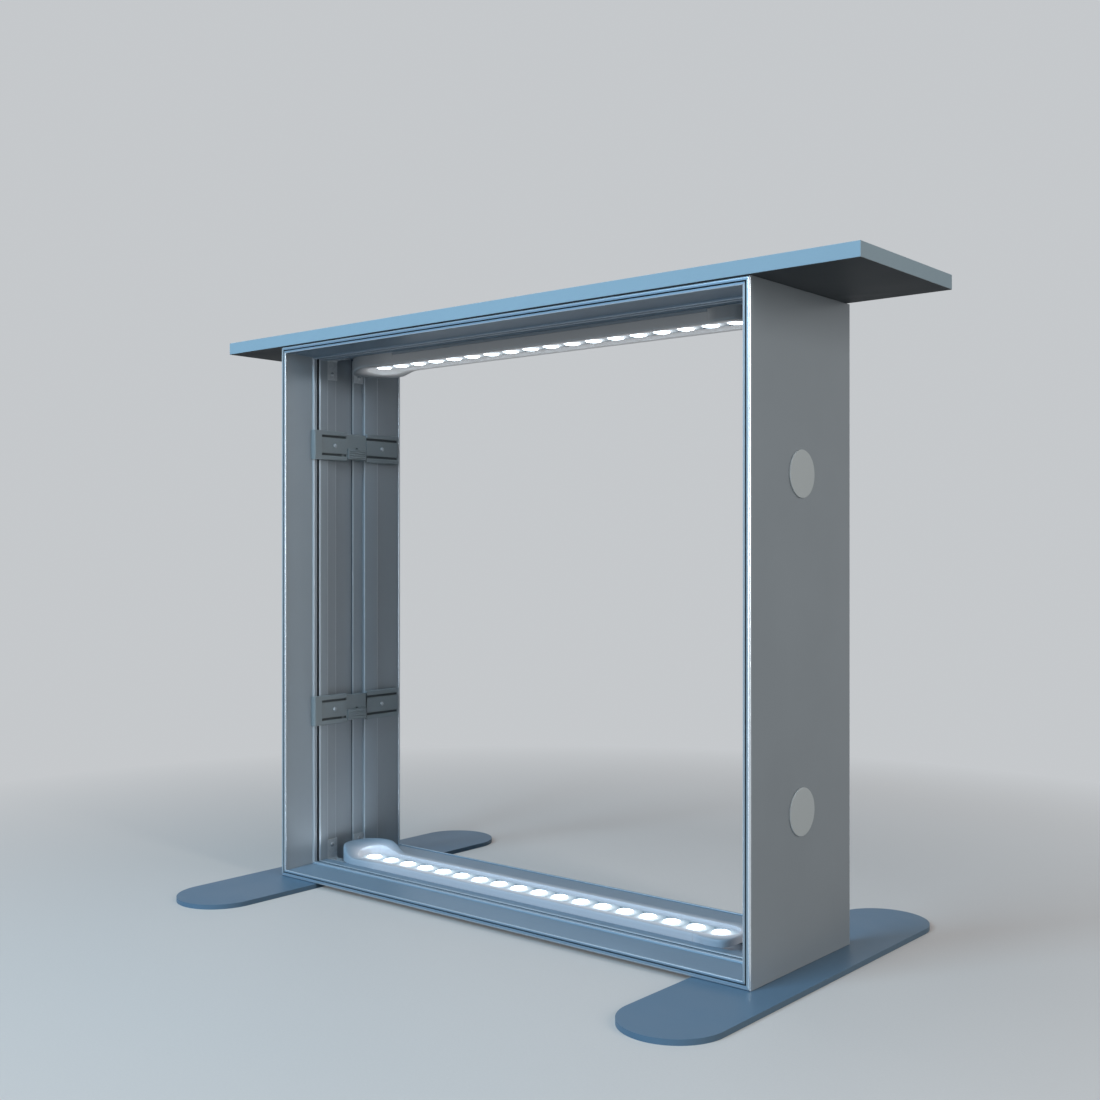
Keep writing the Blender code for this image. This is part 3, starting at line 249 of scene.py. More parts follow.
worktop_laminate = coated("worktop_laminate", (0.350, 0.432, 0.480), 700.0, 0.0003, 0.55, gloss=0.03,
                          shaded_underside=(UNDERSIDE + 0.0004, UNDERSIDE + 0.0006))
foot_powder_coat = coated("foot_powder_coat", (0.125, 0.196, 0.268), 900.0, 0.0006, 0.40, gloss=0.20)
clip_plastic = coated("clip_plastic", (0.275, 0.298, 0.302), 1400.0, 0.0002, 0.40)
cap_plastic = coated("cap_plastic", (0.610, 0.635, 0.635), 1600.0, 0.0002, 0.45)
hanger_plastic = coated("hanger_plastic", (0.360, 0.390, 0.420), 1200.0, 0.0002, 0.45)
black_nylon = coated("black_nylon", (0.020, 0.020, 0.022), 1200.0, 0.0003, 0.45)
bracket_steel = small_metal("bracket_steel", (0.50, 0.53, 0.55), 0.42, 0.30)
zinc_steel = small_metal("zinc_steel", (0.55, 0.56, 0.58), 0.30)
dull_zinc = small_metal("dull_zinc", (0.36, 0.39, 0.42), 0.46)
turned_brass = small_metal("turned_brass", (0.60, 0.46, 0.22), 0.32)
magnet_nickel = small_metal("magnet_nickel", (0.55, 0.55, 0.56), 0.22)
print("materials so far:", len(bpy.data.materials))

# %% [markdown]
# A CAD node's mesh is loose triangles, with hard edges that no real piece has. The quick way to a
# finished piece is a copy whose doubles are merged and whose flat triangles are dissolved, with a
# fine bevel on its sharp edges, so that each edge catches the light. The copy then replaces the
# node. Pieces whose curves are coarse in the CAD are modelled again, with more steps.
# %% Helpers for pieces
made_pieces = []


def settle(piece, material, body, slot, *nodes):
    """Gives a piece its finish, its body and the nodes that it stands for."""
    piece.data.materials.clear()
    piece.data.materials.append(material)
    for face in piece.data.polygons:
        face.material_index = 0
    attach(piece, body)
    if nodes:
        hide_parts(*nodes)
    made_pieces.append(piece.name)
    return piece


def shade_smooth(data, angle=35):
    """Smooth, but sharp where the surface turns by the angle."""
    data.shade_smooth()
    data.set_sharp_from_angle(angle=math.radians(angle))


def piece_from(name, mesh, angle=35):
    """An object at the origin from a bmesh, with its faces outwards."""
    bmesh.ops.remove_doubles(mesh, verts=mesh.verts, dist=1e-6)
    bmesh.ops.recalc_face_normals(mesh, faces=mesh.faces)
    data = bpy.data.meshes.new(name)
    mesh.to_mesh(data)
    mesh.free()
    shade_smooth(data, angle)
    return placed(name, data)


def add_bevel(piece, width, segments=2, angle=40):
    edge = piece.modifiers.new("edges", "BEVEL")
    edge.width, edge.segments, edge.harden_normals = width, segments, True
    edge.limit_method, edge.angle_limit = "ANGLE", math.radians(angle)
    return piece


def softened(name, node, width, segments=2):
    """A merged copy of a CAD node with fine rounds on its sharp edges."""
    mesh = bmesh.new()
    mesh.from_mesh(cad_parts[node].data)
    bmesh.ops.remove_doubles(mesh, verts=mesh.verts, dist=2e-6)
    bmesh.ops.dissolve_limit(mesh, angle_limit=math.radians(0.6), verts=mesh.verts, edges=mesh.edges)
    return add_bevel(piece_from(name, mesh), width, segments)


def evaluated(piece):
    """Gives the piece the mesh that its modifiers make, and removes them."""
    result = bpy.data.meshes.new_from_object(piece.evaluated_get(bpy.context.evaluated_depsgraph_get()))
    piece.modifiers.clear()
    piece.data = result
    return result


def carved(piece, cutter_mesh):
    """The piece with the cutter taken away from it."""
    tool = piece_from(f"{piece.name}_tool", cutter_mesh)
    cut = piece.modifiers.new("cut", "BOOLEAN")
    cut.operation, cut.solver, cut.object = "DIFFERENCE", "EXACT", tool
    shade_smooth(evaluated(piece))
    bpy.data.objects.remove(tool, do_unlink=True)
    return piece


def mark_faces(piece, rule):
    """Writes a number for each face by a rule: a painted highlight above 0, a painted shade below 0."""
    wear = piece.data.attributes.new("wear", "FLOAT", "FACE")
    wear.data.foreach_set("value", [rule(face) for face in piece.data.polygons])
    return piece


def centre_of(node):
    low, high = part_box(node)
    return (low + high) / 2


print("helpers for pieces ready")

# %% [markdown]
# Three forms come back in most pieces: a prism between two copies of one section, a flat lid on a
# ring of points, and a profile turned about an axis. They are written once, with bmesh, because a
# section with holes and a ring that bends into a cross or a hexagon are awkward with modifiers.
# %% Prisms, lids and turned forms


def add_prism(mesh, loops, near, far):
    """A closed prism between two placed copies of one section; loops after the first are holes."""
    points = [point for loop in loops for point in loop]
    first = [mesh.verts.new(near(p, q)) for p, q in points]
    last = [mesh.verts.new(far(p, q)) for p, q in points]
    for face in tessellate_polygon([[Vector((p, q, 0)) for p, q in loop] for loop in loops]):
        mesh.faces.new([first[i] for i in face])
        mesh.faces.new([last[i] for i in reversed(face)])
    start = 0
    for loop in loops:
        for i in range(len(loop)):
            a, b = start + i, start + (i + 1) % len(loop)
            mesh.faces.new((first[a], first[b], last[b], last[a]))
        start += len(loop)


def add_lid(mesh, ring, first, second):
    """Closes a flat ring with triangles that stay inside its outline, drawn on two of the axes."""
    for face in tessellate_polygon([[Vector((v.co[first], v.co[second], 0)) for v in ring]]):
        mesh.faces.new([ring[i] for i in face])


def add_turned(mesh, profile, place, sides, outline=None):
    """Turns (radius, height) points about an axis; an outline may bend some rings."""
    rings = []
    for number, (radius, height) in enumerate(profile):
        count = sides if radius > 0 else 1
        turns = [2 * math.pi * k / count for k in range(count)]
        reaches = [radius * (outline(turn, number) if outline else 1) for turn in turns]
        rings.append([mesh.verts.new(place(reach * math.cos(turn), reach * math.sin(turn), height))
                      for turn, reach in zip(turns, reaches)])
    for low, high in zip(rings, rings[1:]):
        for k in range(sides):
            after = k + 1
            corners = [low[k % len(low)], low[after % len(low)], high[after % len(high)], high[k % len(high)]]
            corners = list(dict.fromkeys(corners))
            if len(corners) > 2:
                mesh.faces.new(corners)


def turned(name, profile, place, sides, outline=None, angle=40):
    mesh = bmesh.new()
    add_turned(mesh, profile, place, sides, outline)
    return piece_from(name, mesh, angle)


def aimed(origin, direction):
    """Places local (x, y, height) so that height runs from origin along direction."""
    origin, turn = Vector(origin), Vector(direction).to_track_quat("Z", "Y")
    return lambda x, y, height: origin + turn @ Vector((x, y, height))


def quarter(steps):
    """Angles from 0 to a quarter turn."""
    return [math.pi / 2 * k / steps for k in range(steps + 1)]


UPWARDS = aimed((0, 0, 0), (0, 0, 1))
print("quarter turn in two steps:", quarter(2))

# %% [markdown]
# The main form is the profile, one section for all four sides: a lip with a groove for the edge
# strip of a fabric, a smooth band that rises to a ridge, a land and a centre channel. The rear half
# mirrors the front one, but only the front ridge is split by a slot. The section is drawn as a loop
# of (depth, height) points with true rounds, and extruded between two ends that lean at 45 degrees.
# A curve with a bevel object would also sweep the section, but its mitres would not stay separate
# pieces, as the real ones are.
# %% The section of the profile
SEAT_GAP = 0.0003
LEFT_FACE, RIGHT_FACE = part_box("left_profile")[0].x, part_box("right_profile")[1].x
FRAME_BASE, FRAME_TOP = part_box("bottom_profile")[0].z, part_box("top_profile")[1].z
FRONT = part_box("right_profile")[0].y
FRAME_WIDTH, FRAME_HEIGHT = RIGHT_FACE - LEFT_FACE, FRAME_TOP - FRAME_BASE
MIDDLE_X, MIDDLE_Z = (LEFT_FACE + RIGHT_FACE) / 2, (FRAME_BASE + FRAME_TOP) / 2
EDGE_RADIUS = 0.0032
GROOVE_RIM, GROOVE_WIDTH, GROOVE_DEPTH, GROOVE_ROUND = 0.0062, 0.0019, 0.014, 0.0005
LIP_HEIGHT, LIP_THICKNESS, LIP_RADIUS = 0.012, 0.004, 0.0013
WALL = 0.0018
BAND_LOW, BAND_HIGH, BAND_EASE = 0.0098, 0.013, 0.7
RIDGE_HEIGHT, RIDGE_IN, RIDGE_FLANK, RIDGE_RADIUS, RIM = 0.016, 0.0625, 0.002, 0.0012, 0.004
SLOT_IN, BACK_RIDGE_IN, SLOT_FLOOR = 0.072, 0.077, 0.008
LAND_IN, LAND_HEIGHT, FLOOR_IN, FLOOR_HEIGHT = 0.098, 0.010, 0.123, 0.005


def rounded(corner, before, after, radius, steps=4):
    """Points of a small round at a corner, from the side of one neighbour to that of the other."""
    corner, before, after = Vector(corner), Vector(before), Vector(after)
    start = corner + (before - corner).normalized() * radius
    end = corner + (after - corner).normalized() * radius
    shares = [k / steps for k in range(steps + 1)]
    return [tuple(start.lerp(corner, share).lerp(corner.lerp(end, share), share)) for share in shares]


def band_points(low_in, high_in, drop, steps=14):
    shares = [k / steps for k in range(steps + 1)]
    return [(low_in + (high_in - low_in) * share, BAND_LOW + (BAND_HIGH - BAND_LOW) * share**BAND_EASE - drop)
            for share in shares]


def ridge(low_in, high_in, low_height, high_height, flank):
    foot = (low_in, low_height)
    first, second = (low_in + flank, RIDGE_HEIGHT), (high_in, RIDGE_HEIGHT)
    points = [foot] + rounded(first, foot, second, RIDGE_RADIUS) + [(low_in + flank + RIM, RIDGE_HEIGHT)]
    return points + rounded(second, first, (high_in, high_height), RIDGE_RADIUS) + [(high_in, high_height)]


def section_half(slotted):
    """Half the outline, from the outer edge to the centre channel; the slot splits its ridge."""
    points = [(EDGE_RADIUS * (1 - math.sin(a)), EDGE_RADIUS * (1 - math.cos(a))) for a in quarter(8)]
    groove_top = GROOVE_RIM + GROOVE_WIDTH
    points += rounded((0, GROOVE_RIM), (0, 0), (GROOVE_DEPTH, GROOVE_RIM), GROOVE_ROUND)
    points += [(GROOVE_DEPTH, GROOVE_RIM), (GROOVE_DEPTH, groove_top)]
    points += rounded((0, groove_top), (GROOVE_DEPTH, groove_top), (0, LIP_HEIGHT), GROOVE_ROUND)
    lip_front, lip_back = (0, LIP_HEIGHT), (LIP_THICKNESS, LIP_HEIGHT)
    points += rounded(lip_front, (0, groove_top), lip_back, LIP_RADIUS)
    points += rounded(lip_back, lip_front, (LIP_THICKNESS, BAND_LOW), LIP_RADIUS)
    points += band_points(LIP_THICKNESS, RIDGE_IN, 0)[:-1]
    if slotted:
        points += ridge(RIDGE_IN, SLOT_IN, BAND_HIGH, SLOT_FLOOR, RIDGE_FLANK)
        points += ridge(BACK_RIDGE_IN, LAND_IN, SLOT_FLOOR, LAND_HEIGHT, 0)
    else:
        points += ridge(RIDGE_IN, LAND_IN, BAND_HIGH, LAND_HEIGHT, RIDGE_FLANK)
    points += rounded((FLOOR_IN, LAND_HEIGHT), (LAND_IN, LAND_HEIGHT), (FLOOR_IN, FLOOR_HEIGHT), RIDGE_RADIUS)
    return points + [(FLOOR_IN, FLOOR_HEIGHT)]


def chambers(slotted):
    """Hollows of half the section: behind the groove, in the ridge, under slot and land."""
    skin = band_points(GROOVE_DEPTH + WALL, RIDGE_IN - WALL, WALL)
    behind_groove = [(GROOVE_DEPTH + WALL, WALL), (RIDGE_IN - WALL, WALL)] + skin[::-1]
    boxes = [(LAND_IN + WALL, FLOOR_IN - WALL, LAND_HEIGHT - WALL)]
    ridge_start = RIDGE_IN + RIDGE_FLANK + WALL / 2
    if slotted:
        boxes.append((RIDGE_IN, BACK_RIDGE_IN - WALL, SLOT_FLOOR - WALL))
        ridge_start = BACK_RIDGE_IN + WALL
    boxes.append((ridge_start, LAND_IN - WALL, RIDGE_HEIGHT - WALL))
    return [behind_groove] + [[(a, WALL), (b, WALL), (b, top), (a, top)] for a, b, top in boxes]


def profile_section():
    outline = [(FRONT + d, h) for d, h in section_half(True)]
    outline += [(-FRONT - d, h) for d, h in reversed(section_half(False))]
    front = [[(FRONT + d, h) for d, h in chamber] for chamber in chambers(True)]
    rear = [[(-FRONT - d, h) for d, h in chamber] for chamber in chambers(False)]
    return [outline] + front + rear


print("section:", len(profile_section()[0]), "points,", len(profile_section()) - 1, "chambers")

# %% [markdown]
# Four profiles follow from the one section. Each has a rule that turns (along, depth, height off
# the outer face) into a point of the counter. The right one also has two round cable ports, cut
# with a Boolean, because they cross several chambers of the section.
# %% The four mitred profiles
PORT_RADIUS, PORT_OUT, PORT_IN = 0.0325, 0.002, -0.018
RULES = {
    "bottom": lambda a, d, h: Vector((MIDDLE_X + a, d, FRAME_BASE + h)),
    "top": lambda a, d, h: Vector((MIDDLE_X + a, d, FRAME_TOP - h)),
    "left": lambda a, d, h: Vector((LEFT_FACE + h, d, MIDDLE_Z + a)),
    "right": lambda a, d, h: Vector((RIGHT_FACE - h, d, MIDDLE_Z + a)),
}
NEAR, NARROW_FACE, GROOVE_MOUTH = 1e-5, 0.0008, 0.001
# Strengths of the painted highlight on the upright and level rounds, and of the painted shade in the slot and
# the grooves.
UPRIGHT_HIGHLIGHT, LEVEL_HIGHLIGHT, SLOT_SHADE, GROOVE_SHADE = 1.0, 0.45, -1.0, -0.6


def port_centre(node):
    return Vector((RIGHT_FACE, *centre_of(node).yz))


def height_off(side, point):
    """How far a point stands off the outer face of one side."""
    return {"bottom": point.z - FRAME_BASE, "top": FRAME_TOP - point.z,
            "left": point.x - LEFT_FACE, "right": RIGHT_FACE - point.x}[side]


def painted_light_of(side, data, face):
    """Painted highlight above 0 on rounds and on the rim behind the slot, painted shade below 0 in the slot and
    the grooves.
    """
    depth, height = face.center.y - FRONT, height_off(side, face.center)
    edge_depth = min(depth, -2 * FRONT - depth)
    longest = max((data.vertices[a].co - data.vertices[b].co).length for a, b in face.edge_keys)
    if abs(height - GROOVE_RIM - GROOVE_WIDTH / 2) < GROOVE_WIDTH / 2 + GROOVE_ROUND:
        return GROOVE_SHADE if edge_depth > GROOVE_MOUTH else 0.0
    if SLOT_IN < depth + NEAR and depth - NEAR < BACK_RIDGE_IN and height < RIDGE_HEIGHT - RIDGE_RADIUS:
        return SLOT_SHADE
    on_rim = BACK_RIDGE_IN < depth < BACK_RIDGE_IN + RIM and height > RIDGE_HEIGHT - NEAR
    if not on_rim and face.area / longest > NARROW_FACE:
        return 0.0
    return UPRIGHT_HIGHLIGHT if edge_depth < LIP_THICKNESS and side in ("left", "right") else LEVEL_HIGHLIGHT


def mitred_profile(side, length, material):
    rule, setback = RULES[side], SEAT_GAP / math.sqrt(2)
    mesh = bmesh.new()
    add_prism(mesh, profile_section(), lambda d, h: rule(-(length / 2 - h - setback), d, h),
              lambda d, h: rule(length / 2 - h - setback, d, h))
    piece = piece_from(f"{side}_extrusion", mesh, 30)
    if side == "right":
        ports = bmesh.new()
        for node in ("upper_port_cap", "lower_port_cap"):
            bore = [(0, PORT_OUT), (PORT_RADIUS, PORT_OUT), (PORT_RADIUS, PORT_IN), (0, PORT_IN)]
            add_turned(ports, bore, aimed(port_centre(node), (1, 0, 0)), 72)
        carved(piece, ports)
    mark_faces(piece, lambda face: painted_light_of(side, piece.data, face))
    return settle(piece, material, "root", "satin_aluminium", f"{side}_profile")


for sides, length, finish in ((("bottom", "top"), FRAME_WIDTH, level_aluminium),
                              (("left", "right"), FRAME_HEIGHT, upright_aluminium)):
    for side in sides:
        made = mitred_profile(side, length, finish)
        print(made.name, len(made.data.polygons), "faces")

# %% [markdown]
# The worktop is a flat board with crisp edges. On the real one a thin laminate lies on the core,
# and its edge shows as a fine line. The board is a box with its insert holes, taken from the CAD,
# with a round of about half a millimetre.
# %% Worktop
WORKTOP_ROUND = 0.0006
worktop = softened("worktop_board", "countertop", WORKTOP_ROUND, 3)
settle(worktop, worktop_laminate, "root", "white_laminate", "countertop")
print("worktop", [round(v, 4) for v in worktop.dimensions])

# %% [markdown]
# The feet are long flat plates with round ends, cut from steel and powder coated. The CAD's ends
# have few steps, so the plates are drawn again with smooth ends, and the two countersunk bolt
# holes of each are cut from below.
# %% Foot plates
BOLT_HOLE = [(0, -0.002), (0.0081, -0.002), (0.0081, 0.0007), (0.0043, 0.0041), (0.0043, 0.012), (0, 0.012)]


def stadium(half_length, radius, steps):
    """Outline of a slot shape that runs along its first axis."""
    turns = [math.pi * k / steps - math.pi / 2 for k in range(steps + 1)]
    return [(end * (half_length + radius * math.cos(turn)), end * radius * math.sin(turn))
            for end in (1, -1) for turn in turns]


def foot_plate(hand):
    low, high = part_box(f"{hand}_foot")
    radius, centre = (high.x - low.x) / 2, (low.x + high.x) / 2
    mesh = bmesh.new()
    add_prism(mesh, [stadium((high.y - low.y) / 2 - radius, radius, 56)],
              lambda y, x: Vector((centre + x, y, low.z)), lambda y, x: Vector((centre + x, y, high.z)))
    holes = bmesh.new()
    for end in ("front", "rear"):
        spot = (*centre_of(f"{hand}_foot_bolt_{end}").xy, 0)
        add_turned(holes, BOLT_HOLE, aimed(spot, (0, 0, 1)), 32)
    plate = add_bevel(carved(piece_from(f"{hand}_foot_plate", mesh), holes), 0.0009, 3, 50)
    return settle(plate, foot_powder_coat, "root", "powder_coated_steel", f"{hand}_foot")


for hand in ("left", "right"):
    print(foot_plate(hand).name)

# %% [markdown]
# Geometry Nodes place what repeats. The first tree puts copies of one small part on a line, with
# inputs for the first place, the step and the count: it makes the rows of lenses and the small
# parts between them. The second puts copies on the vertices of a mesh and turns each to its aim:
# it makes the screws. Both end in Realize Instances and Set Material, so that the result is one
# plain mesh with its finish.
# %% Two Geometry Nodes trees


def wire(tree, *links):
    for source, outlet, target, inlet in links:
        tree.links.new(source.outputs[outlet], target.inputs[inlet])


def copies_tree(name, *extra):
    """Copies of a part; the caller links their points and turns."""
    tree = bpy.data.node_groups.new(name, "GeometryNodeTree")
    tree.interface.new_socket(name="Geometry", in_out="OUTPUT", socket_type="NodeSocketGeometry")
    inputs = (("Geometry", "Geometry"), ("Part", "Object"), ("Finish", "Material"), *extra)
    keys = {}
    for title, kind in inputs:
        socket = tree.interface.new_socket(name=title, in_out="INPUT", socket_type=f"NodeSocket{kind}")
        keys[title] = socket.identifier
    entry, leave = tree.nodes.new("NodeGroupInput"), tree.nodes.new("NodeGroupOutput")
    part, copies, real, paint = (tree.nodes.new(f"GeometryNode{kind}") for kind in
                                 ("ObjectInfo", "InstanceOnPoints", "RealizeInstances", "SetMaterial"))
    wire(tree, (entry, "Part", part, "Object"), (part, "Geometry", copies, "Instance"),
         (copies, "Instances", real, "Geometry"), (real, "Geometry", paint, "Geometry"),
         (entry, "Finish", paint, "Material"), (paint, "Geometry", leave, "Geometry"))
    return tree, keys, entry, copies


def row_tree():
    tree, keys, entry, copies = copies_tree("copies_in_a_row", ("Count", "Int"), ("First place", "Vector"),
                                            ("Step", "Vector"), ("Turn", "Vector"))
    line, turn = tree.nodes.new("GeometryNodeMeshLine"), tree.nodes.new("FunctionNodeEulerToRotation")
    line.mode = "OFFSET"
    wire(tree, (entry, "Count", line, "Count"), (entry, "First place", line, "Start Location"),
         (entry, "Step", line, "Offset"), (entry, "Turn", turn, "Euler"),
         (line, "Mesh", copies, "Points"), (turn, "Rotation", copies, "Rotation"))
    return tree, keys


def spot_tree():
    tree, keys, entry, copies = copies_tree("copies_on_spots")
    aim = tree.nodes.new("GeometryNodeInputNamedAttribute")
    turn = tree.nodes.new("FunctionNodeAlignRotationToVector")
    aim.data_type, turn.axis = "FLOAT_VECTOR", "Z"
    aim.inputs["Name"].default_value = "aim"
    wire(tree, (aim, "Attribute", turn, "Vector"), (entry, "Geometry", copies, "Points"),
         (turn, "Rotation", copies, "Rotation"))
    return tree, keys


ROWS, SPOTS = row_tree(), spot_tree()


def grown(name, mesh, rule, part, material, **inputs):
    """Runs a tree on a mesh and returns the result as a plain piece; the small part is deleted."""
    host = placed(name, mesh)
    run = host.modifiers.new("copies", "NODES")
    run.node_group, keys = rule
    for key, value in {"Part": part, "Finish": material, **inputs}.items():
        run[keys[key.replace("_", " ")]] = value
    bpy.context.view_layer.update()
    evaluated(host).name = name
    bpy.data.objects.remove(part, do_unlink=True)
    return host


def in_a_row(name, part, material, first, count, turn):
    return grown(name, bpy.data.meshes.new(name), ROWS, part, material,
                 Count=count, First_place=first, Step=(LENS_PITCH, 0, 0), Turn=turn)


def on_spots(name, part, material, spots):
    """Copies on (place, aim) spots."""
    mesh = bpy.data.meshes.new(name)
    mesh.from_pydata([tuple(place) for place, aim in spots], [], [])
    aims = mesh.attributes.new("aim", "FLOAT_VECTOR", "POINT")
    for item, (place, aim) in zip(aims.data, spots):
        item.vector = aim
    return grown(name, mesh, SPOTS, part, material)


print("trees:", ROWS[0].name, SPOTS[0].name)

# %% [markdown]
# Each corner of the frame is held by two angle brackets on the lands, with two pan head screws
# each. The brackets are the CAD's, with their edges softened. One screw is modelled, with a cross
# recess drawn by bending the last rings of its head, and the tree puts it at every hole.
# %% Corner brackets and their screws
SCREW_HEAD, SCREW_RISE, SCREW_CROSS, CROSS_HALF = 0.0041, 0.0020, 0.0021, 0.00055
RECESS_SIDE, RECESS_FLOOR = 0.0011, 0.0012
BRACKET_THICKNESS, BRACKET_LEG, SCREW_SHARE = 0.003, 0.0405, 0.74
BRACKET_SEAT = LAND_HEIGHT + SEAT_GAP
BRACKET_TOP, BRACKET_SCREW = BRACKET_SEAT + BRACKET_THICKNESS, SCREW_SHARE * BRACKET_LEG
LAND_MIDDLE = (LAND_IN + FLOOR_IN) / 2


def cross_outline(first_ring, reach):
    """Bends the rings from one number on into a cross of the given reach."""

    def bend(turn, number):
        if number < first_ring:
            return 1
        short, long = sorted((abs(math.cos(turn)), abs(math.sin(turn))))
        edge = CROSS_HALF / short if short > 1e-6 else reach
        flank = CROSS_HALF / reach / long if short > 0.35 else 0
        return min(1.0, max(flank, edge / reach))

    return bend


def cross_screw(name, rings, reach, top, floor_share, place):
    """A turned screw whose last rings bend into a cross recess."""
    recess = [(reach, top), (reach * floor_share, top - RECESS_SIDE), (0, top - RECESS_FLOOR)]
    return turned(name, rings + recess, place, 32, cross_outline(len(rings), reach))


def pan_screw():
    """A domed head with a cross recess, from its seat upwards."""
    dome = [(SCREW_HEAD * math.cos(a), SCREW_RISE * (0.35 + 0.65 * math.sin(a))) for a in quarter(6)[:-1]
            if SCREW_HEAD * math.cos(a) > SCREW_CROSS * 1.05]
    rings = [(0, 0), (SCREW_HEAD, 0)] + dome
    return cross_screw("bracket_screw", rings, SCREW_CROSS, SCREW_RISE * 0.985, 0.82, UPWARDS)


def bracket_spots():
    spots, leg = [], BRACKET_SEAT + BRACKET_SCREW
    for end, rise in ((FRAME_BASE, 1), (FRAME_TOP, -1)):
        for face, side in ((LEFT_FACE, 1), (RIGHT_FACE, -1)):
            for depth in (FRONT + LAND_MIDDLE, -FRONT - LAND_MIDDLE):
                spots.append(((face + side * BRACKET_TOP, depth, end + rise * leg), (side, 0, 0)))
                spots.append(((face + side * leg, depth, end + rise * BRACKET_TOP), (0, 0, rise)))
    return spots


for corner in (f"{level}_{hand}_{end}" for level in ("bottom", "top") for hand in ("left", "right")
               for end in ("front", "rear")):
    node = f"corner_bracket_{corner}"
    settle(softened(f"angle_{corner}", node, 0.0003), bracket_steel, "root", "bracket_steel", node)
screws = on_spots("bracket_screws", pan_screw(), dull_zinc, bracket_spots())
settle(screws, dull_zinc, "root", "zinc_steel")
print("bracket screws:", len(bracket_spots()), "with", len(screws.data.polygons), "faces")

# %% [markdown]
# A light bar is a tray between two moulded end housings. The left housing is a horseshoe rim that
# climbs into a hood behind the first lens. Its shape follows a rule: stations go round the end,
# each with an outer and an inner point, and a smooth share lifts the rim. The same rule as in the
# CAD is used with three times the steps, and with a round over the rim's edges.
# %% Light bar sizes
LENS_COUNT, LENS_PITCH, LENS_RADIUS = 18, 0.0451, 0.0152
BAR_BASE, BAR_CHAMBER, BAR_WEB = 0.002, 0.0057, 0.002
BAR_HALF, HOUSING_HALF, TROUGH_HALF = 0.044, 0.050, 0.030
CHANNEL_HALF = -FRONT - LAND_IN - SEAT_GAP
BAR_RIM, EDGE_DROP, EDGE_IN, RIM_LIP = 0.0172, 0.004, 0.003, 0.0007
TROUGH_FLOOR = BAR_BASE + BAR_CHAMBER + BAR_WEB
BOARD_THICKNESS, BOARD_INSET, TRAY_WALL = 0.0016, 0.004, 0.003
BOARD_LOW = TROUGH_FLOOR + SEAT_GAP
BOARD_TOP = BOARD_LOW + BOARD_THICKNESS
HOOD_HEIGHT, HOOD_TURN, HOOD_INNER_TURN = 0.046, math.radians(65), math.radians(150)
HOOD_INNER_SHARE, HOOD_FADE, HOOD_LEAD = 0.55, 0.040, 0.010
Bar = namedtuple("Bar", "name first last seat sign left_joint right_joint")


def bar_at(name, left_room, drop, sign):
    first = LEFT_FACE + left_room
    last = first + LENS_PITCH * (LENS_COUNT - 1)
    return Bar(name, first, last, LAND_HEIGHT + SEAT_GAP + drop, sign,
               first + 1.5 * LENS_PITCH, last - 0.5 * LENS_PITCH)


def bar_point(bar, x, y, height):
    """A point at a height above the tray's underside; the top bar hangs upside down."""
    face = FRAME_TOP if bar.sign < 0 else FRAME_BASE
    return Vector((x, y, face + bar.sign * (bar.seat + height)))


BARS = [bar_at("bottom_bar", 0.09475, 0.0, 1), bar_at("top_bar", 0.12115, 0.0103, -1)]
for bar in BARS:
    print(bar.name, "lenses from", round(bar.first, 4), "to", round(bar.last, 4))

# %% [markdown]
# The light of the lenses spills on their own bar: in the picture the tray is brightest beside them
# and the glow dies within six centimetres. The bars' plastic has a small emission for it, which
# falls with the distance from the line through the lenses. On the bottom bar the glow lies a
# little ahead of that line, because the front of its tray is the lighter side in the picture.
# %% Plastic of the bars
SPILL_START, SPILL_END, AHEAD_START, AHEAD_END = 0.016, 0.058, -0.02, 0.05
BAR_LOOKS = {
    "bottom_bar": ((0.285, 0.337, 0.390), 0.70, (0.95, 0.93, 0.95), 0.005),
    # Both bars are one plastic; the top bar's darker, greyer colour is painted shade, for the shade it hangs in
    # under the top profile.
    "top_bar": ((0.300, 0.305, 0.310), 0.62, (0.96, 0.98, 1.0), 0.0),
}


def spill_of(bar, strength, tint, ahead):
    def spill(made):
        place, row = made.axes(), centre_of(f"{bar.name}_led_board").z
        beyond = made.maths("MAXIMUM", made.maths("SUBTRACT", bar.first, place["X"]),
                            made.maths("SUBTRACT", place["X"], bar.last))
        shift = made.spread(place["X"], 0.0, ahead, bar.first + AHEAD_START, bar.first + AHEAD_END)
        distance = made.distance(made.maths("MAXIMUM", beyond, 0.0), made.maths("ADD", place["Y"], shift),
                                 made.maths("SUBTRACT", place["Z"], row))
        near = made.spread(distance, 1.0, 0.0, SPILL_START, SPILL_END)
        glow = made.maths("MULTIPLY", made.maths("MULTIPLY", near, near), strength)
        made.surface(Emission_Strength=glow, Emission_Color=tint)
    return spill


bar_plastic = {}
for bar in BARS:
    colour, *spill_look = BAR_LOOKS[bar.name]
    bar_plastic[bar.name] = coated(f"{bar.name}_plastic", colour, 1400.0, 0.0002, 0.36,
                                   spill=spill_of(bar, *spill_look))
print("bar plastics:", len(bar_plastic))

# %% [markdown]
# A housing is the most sculpted piece of the counter. On the real one it is moulded in one shot, so
# its wall flows round the lenses and up into the hood with no seam. A subdivided box could be
# pushed into that shape by eye, but the CAD's rule is exact: rows of points, one for each station,
# are joined into faces, and the row's rounded crest catches the light all round.
# %% Housings of the light bars
END_REACH, END_SQUARENESS = {"left": 0.061, "right": 0.0385}, {"left": 2.3, "right": 4.5}


def smooth(share):
    share = min(max(share, 0), 1)
    return share * share * (3 - 2 * share)


def hood_rise(angle, inland, turn):
    return smooth((angle + math.pi / 2) / turn) * smooth((HOOD_FADE - inland) / (HOOD_FADE + HOOD_LEAD))


